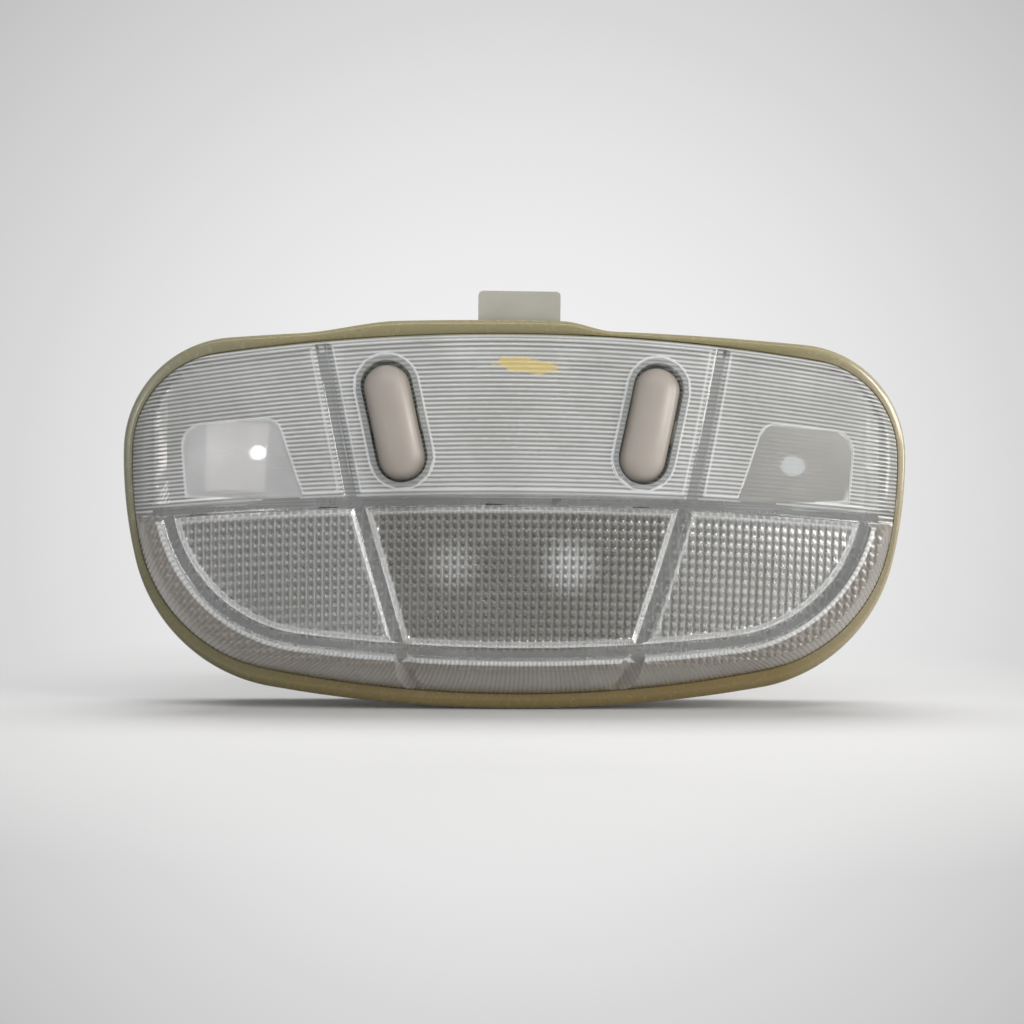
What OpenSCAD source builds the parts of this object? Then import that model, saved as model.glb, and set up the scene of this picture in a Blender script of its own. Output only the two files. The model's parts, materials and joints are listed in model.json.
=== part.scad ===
// Car dome light with two map lamps: an olive bezel, one clear fluted lens, two rocker switches and a rear housing.
// Every piece is drawn face up, as it is moulded: X to the right, Y towards the tongue, Z out of the lens. It is then
// stood upright, so that the lens faces -Y. The origin is the middle of the bezel's seat plane.

/* [Bezel] */
// Width of the bezel over its two ends
bezel_w = 207.6; // [200:0.2:216]
// Height of the bezel's upper edge above the origin
bezel_top = 49.3; // [48:0.1:51]
// Depth of the bezel's lower edge below the origin
bezel_bottom = 51.4; // [50:0.1:53]
// Height at which the bezel is widest
bezel_wide_y = 15; // [12:0.5:18]
// Radius of the long upper edge
bezel_top_r = 900; // [700:10:1200]
// Radius of the upper corners
bezel_up_r = 30; // [26:1:34]
// Radius of the ends
bezel_side_r = 118; // [105:1:135]
// Radius of the lower corners
bezel_low_r = 44; // [40:1:48]
// Radius of the long lower edge
bezel_bottom_r = 375; // [340:5:420]
// Thickness of the bezel's bead
bezel_t = 3.2; // [2.8:0.1:3.8]
// Thickness of the ledge that carries the lens
ledge_t = 1.4; // [1.2:0.1:1.8]
// Width of the ledge inside the lens's edge
ledge_w = 4; // [3.4:0.1:4.6]
// Rise of the land over the tongue
land_h = 2.3; // [1.6:0.1:2.6]

/* [Lens] */
// Bezel that shows above the lens
show_top = 1.4; // [1.2:0.1:2]
// Bezel that shows below the lens
show_bottom = 4.1; // [3:0.1:5]
// Bezel that shows at each end of the lens
show_side = 2.6; // [2:0.1:3.4]
// Slope of the flank above the lens's face
flank_top = 1.4; // [1:0.1:2]
// Slope of the flank below the lens's face
flank_bottom = 8.8; // [7:0.1:10]
// Slope of the flank at each end of the lens's face
flank_side = 5.5; // [4.5:0.1:7]
// Height of the lens's face over the seat plane, at the crown
lens_h = 18; // [16:0.5:21]
// Crown radius along the width
crown_rx = 430; // [400:10:600]
// Crown radius along the height
crown_ry = 160; // [150:5:240]
// Height of the crown's middle
crown_y = 5; // [2:0.5:8]
// Straight wall at the foot of the lens
foot_h = 2; // [1.6:0.1:2.6]
// Wall of the lens at its flank
lens_wall = 2.6; // [2:0.1:3]
// Thickness of the lens's face
lens_t = 3; // [2.6:0.1:3.4]
// Clearance round the lens in its bezel
lens_fit = 0.25; // [0.15:0.05:0.4]

/* [Lens pattern] */
// Distance from one flute to the next on the upper panels
flute_pitch = 2.4; // [1.2:0.1:3]
// Depth of the flutes
flute_depth = 0.35; // [0.2:0.05:0.5]
// Width of a prism of the lower panels
waffle_w = 4; // [2:0.02:4]
// Height of a prism of the lower panels
waffle_h = 4; // [2.2:0.05:4]
// Depth of the prisms
waffle_depth = 0.45; // [0.3:0.05:0.7]
// Distance from one flute to the next on the lower flank
rib_pitch = 2.6; // [1.3:0.1:4]
// Depth of the flank's flutes
rib_depth = 0.3; // [0.2:0.05:0.5]
// Width of the channels at their mouth
channel_w = 5; // [4:0.1:5.6]
// Width of the channels' floor
channel_floor = 2.4; // [1.8:0.1:3]
// Depth of the channels
channel_depth = 1.4; // [1:0.1:1.8]
// Depth of the map lamps' windows
window_depth = 0.7; // [0.5:0.05:1]

/* [Channels] */
// Height of the long channel at the middle
channel_y = 4.3; // [3:0.1:6]
// Radius of the long channel's arch
channel_r = 1000; // [800:20:1400]
// Upper channels' distance from the middle, at the top
upper_ch_top_x = 52.9; // [50:0.1:56]
// Upper channels' distance from the middle, at the long channel
upper_ch_low_x = 44.1; // [42:0.1:46]
// Lower channels' distance from the middle, at the long channel
lower_ch_top_x = 42.6; // [40:0.1:45]
// Lower channels' distance from the middle, at the bezel
lower_ch_low_x = 27.4; // [25:0.1:30]

/* [Map lamps] */
// Windows' inner lower corner, distance from the middle
window_in_x = 56.3; // [55:0.1:58]
// Windows' outer lower corner, distance from the bezel's end
window_end = 16.8; // [15:0.1:20]
// Windows' upper edge
window_top_y = 25; // [22:0.1:27]
// Offset of the map bulbs from the middle of their bays, outwards
map_shift = 1; // [0:0.1:2]
// Height of the map bulbs
map_y = 14.5; // [13:0.5:16]
// Diameter of a map bulb
map_bulb_d = 10; // [9:0.1:11]
// Radius of the bowl behind a map window
bowl_r = 16; // [14:0.5:18]
// Depth of the bowl behind a map window
bowl_depth = 14; // [12:0.5:16]
// Width of a map bulb's holder
holder_d = 13; // [12:0.1:14]
// Length of a map bulb below its round end
map_bulb_l = 12; // [10:0.5:14]

/* [Rockers] */
// Width of a rocker
rocker_w = 12; // [11:0.1:13]
// Length of a rocker
rocker_l = 30.6; // [28:0.1:32]
// Rockers' distance from the middle
rocker_x = 33.4; // [32:0.1:35]
// Height of the rockers' middle
rocker_y = 24.6; // [23:0.1:26]
// Lean of the rockers
rocker_lean = 12.3; // [8:0.1:15]
// Gap round a rocker at its sides
rocker_gap = 0.7; // [0.6:0.05:0.9]
// Gap at a rocker's two ends
rocker_end_gap = 0.9; // [0.8:0.05:1.1]
// Width of the lip round a rocker
lip_w = 1.7; // [1.2:0.1:2]
// Height of the lip over the flutes
lip_h = 0.5; // [0.3:0.05:0.8]
// Rise of a rocker's face at its middle
rocker_rise = 0.9; // [0.6:0.1:1.2]
// Depth of a rocker's pivot under its face
pivot_depth = 6.5; // [5.5:0.1:7]
// Diameter of a rocker's trunnions
trunnion_d = 3; // [2.6:0.1:3.4]
// Radial clearance of the trunnions in their bearings
trunnion_fit = 0.06; // [0.02:0.01:0.09]
// Swing of a rocker to each side of its middle position
rocker_swing = 6; // [3:0.5:6]

/* [Housing] */
// Depth of the housing behind the seat plane
housing_depth = 24; // [22:0.5:28]
// Wall of the housing
wall = 2; // [1.6:0.1:2.4]
// Housing's inset inside the lens's foot
housing_inset = 5; // [4.6:0.1:5.6]
// Thickness of the housing's flange
flange_t = 1.5; // [1.2:0.1:2]
// Depth of the bezel's recess that takes the flange
recess = 0.3; // [0.2:0.05:0.4]
// Width of the tongue
tongue_w = 21.8; // [18:0.2:26]
// Reach of the tongue above the origin
tongue_y = 59.5; // [57:0.1:62]
// Thickness of the tongue
tongue_t = 2; // [1.6:0.1:2.4]
// Gap for the roof panel between the bezel and the tongue
panel_gap = 2.2; // [1.8:0.1:2.6]
// Number of terminals in the connector
terminals = 3; // [2:1:4]

/* [Dome lamp] */
// Diameter of the festoon bulb's glass
festoon_d = 10.6; // [9:0.1:11]
// Length of the festoon bulb's glass
festoon_l = 27; // [24:0.5:30]
// Diameter of the festoon bulb's caps
cap_d = 7.6; // [7:0.1:8]
// Length of one cap
cap_l = 6; // [5:0.5:7]
// Height of the festoon bulb's axis
festoon_y = -14; // [-16:0.5:-12]
// Festoon bulb's axis in front of the seat plane
festoon_z = -2; // [-4:0.5:0]
// Radius of the dome lamp's trough reflector
trough_r = 20; // [18:0.5:22]
// Length of the trough reflector
trough_l = 74; // [70:1:78]
// Height of the trough's middle over the festoon bulb's axis
trough_rise = 6; // [4:0.5:8]
// Width of the heat shield
shield_w = 24; // [20:1:28]
// Height of the heat shield
shield_h = 20; // [16:1:22]

/* [Metal] */
// Thickness of the contact strips
strip_t = 0.6; // [0.5:0.05:0.8]
// Thickness of the spring clips
clip_t = 0.8; // [0.6:0.05:1]
// Width of the spring clips
clip_w = 12; // [10:0.5:14]
// Depth of the clips' lower end behind the seat plane
clip_low = 18; // [16:0.5:20]
// Depth of the clips' widest place behind the seat plane
clip_belly = 8; // [6:0.5:10]
// How far the clips stand out
clip_out = 3.2; // [2.4:0.1:3.6]

/* [Hidden] */

$fn = 48;
// Clear distance between pieces that don't fit or touch, and the overlap of the cutters
gap = 0.3;
cut = 1;

// An outline is a ring of eight tangent arcs: [top, bottom, half width, height of the widest place, then the radii of
// the top, the upper corners, the ends, the lower corners and the bottom].
bezel_o = [bezel_top, bezel_bottom, bezel_w / 2, bezel_wide_y, bezel_top_r, bezel_up_r, bezel_side_r,
    bezel_low_r, bezel_bottom_r];
foot_o = [bezel_top - show_top, bezel_bottom - show_bottom, bezel_w / 2 - show_side, bezel_wide_y - 2, 520,
    bezel_up_r - 4, bezel_side_r - 3, bezel_low_r - 2, bezel_bottom_r - 35];
face_o = [foot_o[0] - flank_top, foot_o[1] - flank_bottom, foot_o[2] - flank_side, bezel_wide_y + 2, 520,
    bezel_up_r - 12, bezel_side_r + 32, bezel_low_r - 2, bezel_bottom_r + 145];

foot_z = ledge_t + foot_h;
inner_inset = housing_inset + wall;
flange_inset = 1.5;
floor_z = wall - housing_depth;
window_out_x = bezel_w / 2 - window_end;
// The bay of a map lamp, from its partition to the housing's end wall
bay_in = upper_ch_low_x + 4;
bay_out = foot_o[2] - inner_inset;
map_x = (bay_in + bay_out) / 2 + map_shift;
top_level = 30;

function polar(r, a) = r * [cos(a), sin(a)];
function heading(v) = atan2(v.y, v.x);
function flip(p) = [-p.x, p.y];
// Where a circle of radius ra round a meets one of radius rb round b, on the side that is a quarter turn from a to b
function meet(a, ra, b, rb, side) =
    let (d = norm(b - a), along = (ra * ra - rb * rb + d * d) / (2 * d), off = sqrt(ra * ra - along * along),
        u = (b - a) / d)
    a + along * u + side * off * [-u.y, u.x];
// The eight arcs of an outline, counter-clockwise from the right end: [middle, radius, first angle, last angle]
function arcs(o) =
    let (top = [0, o[0] - o[4]], bottom = [0, o[8] - o[1]], end = [o[2] - o[6], o[3]],
        up = meet(top, o[4] - o[5], end, o[6] - o[5], -1), low = meet(bottom, o[8] - o[7], end, o[6] - o[7], 1),
        a_low = heading(low - end), a_up = heading(up - end), a_top = heading(up - top),
        a_bottom = heading(low - bottom))
    [[end, o[6], a_low, a_up], [up, o[5], a_up, a_top], [top, o[4], a_top, 180 - a_top],
        [flip(up), o[5], 180 - a_top, 180 - a_up], [flip(end), o[6], 180 - a_up, 180 - a_low],
        [flip(low), o[7], 180 - a_low, 180 - a_bottom], [bottom, o[8], 180 - a_bottom, 360 + a_bottom],
        [low, o[7], a_bottom, a_low]];
// Points of an outline, moved inwards by inset, with n steps along each arc and every other step sunk where it is ribbed
function ring(o, inset, n, sunk = 0) =
    let (all = arcs(o))
    [for (i = [0:7], k = [0:n[i] - 1])
        let (arc = all[i], a = arc[2] + (arc[3] - arc[2]) * k / n[i],
            dip = i > 4 && k % 2 == 1 ? sunk : 0)
        arc[0] + polar(arc[1] - inset - dip, a)];

plain_steps = [8, 8, 16, 8, 8, 10, 18, 10];
inner_steps = [6, 5, 12, 5, 6, 7, 12, 7];
function ribs_on(arc) = 2 * round(arc[1] * (arc[3] - arc[2]) * PI / 180 / rib_pitch);
ribbed_steps = [8, 8, 16, 8, 8, for (i = [5:7]) ribs_on(arcs(foot_o)[i])];

// Height of the lens's face, and the family of arched rows that the flutes, the prisms and the long channel follow
function crown(x, y) = lens_h - x * x / (2 * crown_rx) - pow(y - crown_y, 2) / (2 * crown_ry);
function row_bend(v) =
    let (t = max(0, (v - channel_y) / (bezel_top - channel_y)))
    (1 - t) / channel_r + t / foot_o[4];
function row_y(x, v) = v - x * x / 2 * row_bend(v);

// The rockers' frame: the face's middle, the slope of the lens there and the pivot
rocker_z = crown(rocker_x, rocker_y);
rocker_pitch = atan((rocker_y - crown_y) / crown_ry * cos(rocker_lean) + rocker_x / crown_rx * sin(rocker_lean));
pivot_back = pivot_depth * sin(rocker_pitch);
pivot = [-rocker_x + pivot_back * sin(rocker_lean), rocker_y - pivot_back * cos(rocker_lean),
    rocker_z - pivot_depth * cos(rocker_pitch)];
foot_r = 8.5;
post_gap = 0.4;
post_t = 2.4;
cradle_z = pivot.z - foot_r - 3.2;
cradle_l = 26;
// Where the spring clips sit: pads on the housing's ends
clip_x = foot_o[2] - housing_inset + 0.2;

module upright() rotate([90, 0, 0]) children();
module on_right() mirror([1, 0, 0]) children();
module at_rocker() translate([-rocker_x, rocker_y, rocker_z]) rotate([0, 0, rocker_lean])
    rotate([-rocker_pitch, 0, 0]) children();
module at_pivot() translate(pivot) rotate([0, 0, rocker_lean]) children();

// A prism over an outline, from z0 to z1
module slab(o, inset, z0, z1) translate([0, 0, z0]) linear_extrude(z1 - z0) polygon(ring(o, inset, plain_steps));

// The bead's section: x is minus the distance inwards, y is the height
function bead(grow) = [[grow, 0], [grow, bezel_t - 1.6], [grow - 0.25, bezel_t - 0.9], [grow - 0.8, bezel_t - 0.35],
    [-1.6, bezel_t - 0.1 + grow], [-3, bezel_t + grow], [-10, bezel_t + grow], [-10, 0]];

// The bead swept round an outline, arc by arc. Every other arc is a hair larger and longer, so that it takes in the
// ends of its neighbours.
module sweep(o) {
    all = arcs(o);
    for (i = [0:7]) {
        arc = all[i];
        more = i % 2 * 0.2 / arc[1] * 180 / PI;
        translate(arc[0]) rotate(arc[2] - more) rotate_extrude(angle = arc[3] - arc[2] + 2 * more, $fn = 240)
            translate([arc[1], 0]) polygon(bead(i % 2 * 0.01));
    }
}

// A closed solid through rings with the same number of points, from the first ring to the last
module loft(rings) {
    n = len(rings[0]);
    last = len(rings) - 1;
    sides = [for (i = [0:last - 1], k = [0:n - 1])
        let (a = i * n + k, b = i * n + (k + 1) % n)
        each [[a, b + n, b], [a, a + n, b + n]]];
    polyhedron([for (r = rings) each r], concat(sides, [[for (k = [0:n - 1]) k]],
        [[for (k = [n - 1:-1:0]) last * n + k]]), convexity = 6);
}

// A solid under a sheet of points, down to z = 0. With peaks, the middle of each cell is one more point.
module under_sheet(rows, peaks = []) {
    nr = len(rows);
    nc = len(rows[0]);
    top = [for (r = rows) each r];
    rim = concat([for (j = [0:nc - 1]) j], [for (i = [1:nr - 1]) i * nc + nc - 1],
        [for (j = [nc - 2:-1:0]) (nr - 1) * nc + j], [for (i = [nr - 2:-1:1]) i * nc]);
    base = nr * nc + len(peaks);
    m = len(rim);
    cells = [for (i = [0:nr - 2], j = [0:nc - 2])
        let (a = i * nc + j, b = a + 1, c = b + nc, d = a + nc, p = nr * nc + i * (nc - 1) + j)
        each len(peaks) > 0 ? [[a, p, b], [b, p, c], [c, p, d], [d, p, a]] : [[a, c, b], [a, d, c]]];
    walls = [for (k = [0:m - 1])
        let (q = (k + 1) % m)
        each [[rim[k], rim[q], base + q], [rim[k], base + q, base + k]]];
    polyhedron(concat(top, peaks, [for (k = rim) [top[k].x, top[k].y, 0]]),
        concat(cells, walls, [[for (k = [0:m - 1]) base + k]]), convexity = 6);
}

// The space under the lens's smooth face, sunk by depth
module under_face(depth) {
    half = foot_o[2] + cut;
    rows = [for (i = [0:10])
        let (y = -foot_o[1] - cut + (foot_o[0] + foot_o[1] + 2 * cut) * i / 10)
        [for (j = [0:16])
            let (x = half * (j / 8 - 1))
            [x, y, crown(x, y) - depth]]];
    under_sheet(rows);
}

// The space inside the lens's flank, from the foot to well above the face
module inside_flank(inset, z0, steps, sunk) {
    foot = ring(foot_o, inset, steps, sunk);
    face = ring(face_o, inset, steps, sunk);
    edge = [for (p = face) [p.x, p.y, crown(p.x, p.y)]];
    above = [for (i = [0:len(foot) - 1]) 2 * edge[i] - [foot[i].x, foot[i].y, foot_z]];
    loft([[for (p = foot) [p.x, p.y, z0]], [for (p = foot) [p.x, p.y, foot_z]], above,
        [for (p = above) [p.x, p.y, top_level + cut]]]);
}

// Upper panels: flutes that run along the width
module flutes() {
    first = channel_y - 1;
    count = ceil((foot_o[0] + 2 - first) / flute_pitch);
    half = foot_o[2] + cut;
    rows = [for (i = [0:2 * count])
        let (v = first + flute_pitch * i / 2)
        [for (j = [0:12])
            let (x = half * (j / 6 - 1), y = row_y(x, v))
            [x, y, crown(x, y) - (i % 2 == 0 ? flute_depth : 0)]]];
    under_sheet(rows);
}

// Lower panels: a waffle of four-sided prisms
module waffle() {
    nx = 2 * ceil(face_o[2] / waffle_w);
    ny = ceil((channel_y + face_o[1]) / waffle_h) + 1;
    // The first and last column and the first row reach out over the flank
    function col(j) = j < 1 || j > nx - 1 ? sign(j - 1) * (foot_o[2] + cut) : waffle_w * (j - nx / 2);
    function row(i) = i < 1 ? -foot_o[1] - cut : channel_y + 0.5 + waffle_h * (i - ny);
    function at(i, j) =
        let (x = col(j), y = row_y(x, row(i)))
        [x, y, crown(x, y)];
    rows = [for (i = [0:ny]) [for (j = [0:nx]) at(i, j) - [0, 0, waffle_depth]]];
    peaks = [for (i = [0:ny - 1], j = [0:nx - 1]) at(i + 0.5, j + 0.5)];
    under_sheet(rows, peaks);
}

// A groove along a list of places: in the face, or at a height of its own where the place has one
module groove(path) for (i = [0:len(path) - 2]) hull() for (p = [path[i], path[i + 1]])
    translate([p.x, p.y, len(p) > 2 ? p.z : crown(p.x, p.y) - channel_depth])
        cylinder(h = channel_depth + cut, d1 = channel_floor,
            d2 = channel_floor + (channel_w - channel_floor) * (channel_depth + cut) / channel_depth, $fn = 8);

function between(a, b, n) = [for (i = [0:n]) a + (b - a) * i / n];

module channels() {
    reach = face_o[2];
    end_y = row_y(reach, channel_y);
    groove([for (i = [-8:8]) let (x = reach * i / 8) [x, row_y(x, channel_y)]]);
    for (s = [-1, 1]) {
        // Each end of the long channel, down the flank to a notch
        groove([[s * reach, end_y], [s * (foot_o[2] + 1.3), end_y - 0.6, ledge_t + 0.5]]);
        groove(between([s * upper_ch_low_x, row_y(upper_ch_low_x, channel_y)], [s * upper_ch_top_x, foot_o[0] - 4], 5));
        ridge = [s * (lower_ch_low_x + (lower_ch_top_x - lower_ch_low_x) * 0.2), -face_o[1] + 0.4];
        groove(between([s * lower_ch_top_x, row_y(lower_ch_top_x, channel_y)], ridge, 5));
        groove([ridge, [s * lower_ch_low_x, -foot_o[1], ledge_t + 0.4]]);
    }
    // Along the lower edge, inside the ridge
    edge = ring(face_o, (channel_w + channel_floor) / 4 + 0.3, [4, 4, 4, 4, 4, 8, 12, 8]);
    groove([for (p = [each edge, edge[0]]) if (p.y < row_y(p.x, channel_y) + 1) p]);
}

// One map lamp's window, on the left
module window_2d() {
    slant = (upper_ch_top_x - upper_ch_low_x) / (foot_o[0] - channel_y);
    low = channel_y - 1;
    offset(r = 4, $fn = 24) offset(r = -4)
        polygon([[-window_in_x, low], [-window_in_x - slant * (window_top_y - low) - 3, window_top_y],
            [-window_out_x + 3, window_top_y - 1.5], [-window_out_x - 2, window_top_y - 6], [-window_out_x, low]]);
}
module window_cut() difference() {
    linear_extrude(top_level) intersection() {
        window_2d();
        translate([-foot_o[2], channel_y]) square([foot_o[2], bezel_top]);
    }
    under_face(window_depth);
}

// A slot shape with round ends, standing on its middle
module capsule(w, l, z0, z1) translate([0, 0, z0]) {
    translate([-w / 2, -(l - w) / 2, 0]) cube([w, l - w, z1 - z0]);
    for (s = [-1, 1]) translate([0, s * (l - w) / 2, 0]) cylinder(h = z1 - z0, d = w);
}

opening_w = rocker_w + 2 * rocker_gap;
opening_l = rocker_l + 2 * rocker_end_gap;
module lip() intersection() {
    at_rocker() capsule(opening_w + 2 * lip_w, opening_l + 2 * lip_w, -lens_t, 6);
    under_face(-lip_h);
}

// A snap tab of the lens and the housing's slot for it, at the upper wall when s is 1
tab_w = 12;
tab_t = 1.4;
nub = 1;
tab_x = [-1, 1] * (tongue_w / 2 + 1.1 + tab_w / 2);
// Distance of the housing's inner wall from the origin at the tab's outer end
function wall_y(s) =
    let (r = (s > 0 ? foot_o[4] : foot_o[8]) - inner_inset, x = tab_x[1] + tab_w / 2)
    (s > 0 ? foot_o[0] : foot_o[1]) - inner_inset - r + sqrt(r * r - x * x);
module on_side(s) mirror([0, s > 0 ? 0 : 1, 0]) children();
module snap_tab(x, s) {
    y = wall_y(s) - gap;
    on_side(s) translate([x - tab_w / 2, y - tab_t, -6]) {
        cube([tab_w, tab_t, 6 + crown(x, s * y) - lens_t / 2]);
        cube([tab_w, tab_t + gap + nub, 1.6]);
    }
}
module snap_slot(x, s) on_side(s) translate([x - tab_w / 2 - gap, wall_y(s) - cut, -6 - gap])
    cube([tab_w + 2 * gap, wall + 2 * cut, 1.6 + 2 * gap]);

module lens() color([0.80, 0.81, 0.80, 0.5]) upright() {
    difference() {
        union() {
            intersection() {
                inside_flank(0, ledge_t, ribbed_steps, rib_depth);
                union() {
                    flutes();
                    waffle();
                }
            }
            lip();
            on_right() lip();
        }
        intersection() {
            inside_flank(lens_wall, -cut, inner_steps, 0);
            translate([0, 0, -cut]) under_face(lens_t - cut);
        }
        channels();
        window_cut();
        on_right() window_cut();
        at_rocker() capsule(opening_w, opening_l, -12, 6);
        on_right() at_rocker() capsule(opening_w, opening_l, -12, 6);
    }
    for (x = tab_x, s = [-1, 1]) snap_tab(x, s);
}

// The land over the tongue: where it starts to rise, is full, starts to fall and ends
land_x = [-58, -32, 11, 25];
function ease(t) = let (c = min(1, max(0, t))) c * c * (3 - 2 * c);
function bezel_y(x) = bezel_top - bezel_top_r + sqrt(bezel_top_r * bezel_top_r - x * x);
function land_y(x) = bezel_y(x) + land_h * min(ease((x - land_x[0]) / (land_x[1] - land_x[0])),
    ease((land_x[3] - x) / (land_x[3] - land_x[2])));

module bezel() color([0.52, 0.48, 0.36]) upright() difference() {
    union() {
        sweep(bezel_o);
        linear_extrude(bezel_t - 0.5) polygon([for (i = [0:40])
            let (x = land_x[0] + (land_x[3] - land_x[0]) * i / 40)
            [x, land_y(x)], [land_x[3], bezel_top - 3], [land_x[0], bezel_top - 3]]);
    }
    slab(foot_o, -lens_fit, ledge_t, bezel_t + cut);
    slab(foot_o, ledge_w, -cut, bezel_t + cut);
    slab(foot_o, flange_inset - gap, -cut, recess);
}

// The rocker's pillow: rings from the skirt up to the crown, each with its inset and its depth under the crown
pillow = [[0, 5.9], [0, 3.4], [0.3, 2.1], [0.9, 1.1], [1.8, 0.45], [3, 0.1]];
pillow_r = 90;
// Points of the rocker's right side from the lower end to the upper one, then back down the left side
function pillow_side(inset) =
    let (r = rocker_w / 2 - inset, straight = (rocker_l - rocker_w) / 2)
    concat([for (i = [0:7]) [0, -straight] + polar(r, -84 + 12 * i)],
        [for (i = [-1:1]) [r, straight * i / 2]],
        [for (i = [0:7]) [0, straight] + polar(r, 12 * i)]);
function pillow_ring(k) =
    let (side = pillow_side(pillow[k][0]), n = len(side))
    [for (i = [0:2 * n - 1])
        let (p = i < n ? side[i] : flip(side[2 * n - 1 - i]),
            z = k == 0 ? 0 : p.y * p.y / (2 * pillow_r))
        [p.x, p.y, rocker_rise - pillow[k][1] - z]];
module rocker_pillow() {
    rings = [for (k = [0:len(pillow) - 1]) pillow_ring(k)];
    n = len(rings[0]);
    last = (len(pillow) - 1) * n;
    sides = [for (i = [0:len(pillow) - 2], k = [0:n - 1])
        let (a = i * n + k, b = i * n + (k + 1) % n)
        each [[a, b + n, b], [a, a + n, b + n]]];
    // The crown closes in strips across, each of them flat
    strips = [for (k = [0:n / 2 - 2]) [last + k, last + n - 1 - k, last + n - 2 - k, last + k + 1]];
    polyhedron([for (r = rings) each r], concat(sides, [[for (k = [0:n - 1]) k]], strips), convexity = 4);
}
module left_rocker_body() {
    at_rocker() rocker_pillow();
    at_pivot() {
        intersection() {
            rotate([-rocker_pitch, 0, 0]) translate([-5, -3.5, -3]) cube([10, 7, 5]);
            translate([-5, -3.5, -3]) cube([10, 7, 5]);
        }
        rotate([0, 90, 0]) cylinder(h = rocker_w + 2 * (post_gap + post_t) - 0.6, d = trunnion_d, center = true);
        intersection() {
            translate([-3, -2, -foot_r - cut]) cube([6, 4, foot_r]);
            rotate([0, 90, 0]) cylinder(h = 6, r = foot_r, center = true);
        }
    }
}
module left_rocker() color([0.63, 0.61, 0.58]) upright() left_rocker_body();
module right_rocker() color([0.65, 0.63, 0.60]) upright() on_right() left_rocker_body();

// Carries one rocker: a bridge over two legs, with a bearing post on each side of the rocker
post_x = rocker_w / 2 + post_gap;
cradle_t = 2;
module cradle() {
    difference() {
        at_pivot() for (s = [-1, 1])
            translate([s > 0 ? post_x : -post_x - post_t, -3, cradle_z - pivot.z - cradle_t])
                cube([post_t, 6, pivot.z - cradle_z + cradle_t + trunnion_d / 2 + 1.2]);
        at_pivot() rotate([0, 90, 0]) cylinder(h = 40, d = trunnion_d + 2 * trunnion_fit, center = true);
    }
    at_pivot() translate([-post_x - post_t, -cradle_l / 2, cradle_z - pivot.z - cradle_t])
        cube([2 * (post_x + post_t), cradle_l, cradle_t]);
    for (s = [-1, 1]) at_pivot() translate([-post_x - post_t, s * (cradle_l / 2 - 1) - 1, floor_z - pivot.z])
        cube([2 * (post_x + post_t), 2, cradle_z - cradle_t - floor_z + 0.5]);
}
module left_switch_base() color([0.80, 0.80, 0.78]) upright() cradle();
module right_switch_base() color([0.80, 0.80, 0.78]) upright() on_right() cradle();

// Dividing walls under the channels
partition_t = 1.6;
module partition(a, b, z) {
    d = b - a;
    translate([a.x, a.y, floor_z - 0.5]) rotate(heading(d)) translate([0, -partition_t / 2, 0])
        cube([norm(d), partition_t, z - floor_z + 0.5]);
}

connector_x = 0;
connector_y = 27;
connector_w = 5 * terminals + 3;
connector_h = 9;
connector_l = 10;
pin_w = 0.8;
pin_out = 5;
function pin_x(i) = connector_x + 5 * (i - (terminals - 1) / 2);

module housing_shell() difference() {
    union() {
        slab(foot_o, housing_inset, -housing_depth, recess);
        slab(foot_o, flange_inset, recess - flange_t, recess);
    }
    slab(foot_o, inner_inset, floor_z, cut);
}

// The tongue is let into the upper wall and stands out of it
tongue_w2 = tongue_w / 2;
module tongue_body(more) translate([0, 0, -panel_gap - tongue_t - more]) linear_extrude(tongue_t + 2 * more)
    polygon([[-tongue_w2 - more, foot_o[0] - inner_inset - 1], [tongue_w2 + more, foot_o[0] - inner_inset - 1],
        [tongue_w2 + more, tongue_y - 1], [tongue_w2 - 0.3, tongue_y - 0.3], [tongue_w2 - 1, tongue_y],
        [1 - tongue_w2, tongue_y], [0.3 - tongue_w2, tongue_y - 0.3], [-tongue_w2 - more, tongue_y - 1]]);
module roof_tongue() color([0.68, 0.67, 0.63]) upright() {
    tongue_body(0);
    // Its foot inside the wall
    translate([-tongue_w2 - 0.5, foot_o[0] - inner_inset - 3, -panel_gap - tongue_t - 2])
        cube([tongue_w + 1, 2.4, tongue_t + 3.5]);
}

module rear_housing() color([0.80, 0.80, 0.78]) upright() {
    difference() {
        union() {
            housing_shell();
            translate([connector_x - connector_w / 2, connector_y - connector_h / 2, -housing_depth - connector_l])
                cube([connector_w, connector_h, connector_l + 1]);
            intersection() {
                slab(foot_o, housing_inset + 0.5, floor_z - 0.5, top_level);
                for (s = [-1, 1]) {
                    partition([s * (upper_ch_low_x + 1.2), channel_y], [s * (upper_ch_top_x - 0.6), foot_o[0]], 6);
                    partition([s * 44, channel_y - 1], [s * foot_o[2], channel_y - 4.4], 1);
                }
            }
            for (s = [-1, 1]) translate([s > 0 ? clip_x - 1 : -clip_x, foot_o[3] - clip_w / 2 - 1, -clip_low - 2])
                cube([1, clip_w + 2, clip_low - 1]);
        }
        for (x = tab_x, s = [-1, 1]) snap_slot(x, s);
        tongue_body(0.05);
        translate([connector_x - connector_w / 2 + 1.2, connector_y - connector_h / 2 + 1.2, -housing_depth - connector_l - cut])
            cube([connector_w - 2.4, connector_h - 2.4, connector_l + cut]);
        for (i = [0:terminals - 1]) translate([pin_x(i) - pin_w / 2, connector_y - pin_w / 2, -housing_depth - cut])
            cube([pin_w, pin_w, wall + 2 * cut]);
    }
}

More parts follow.
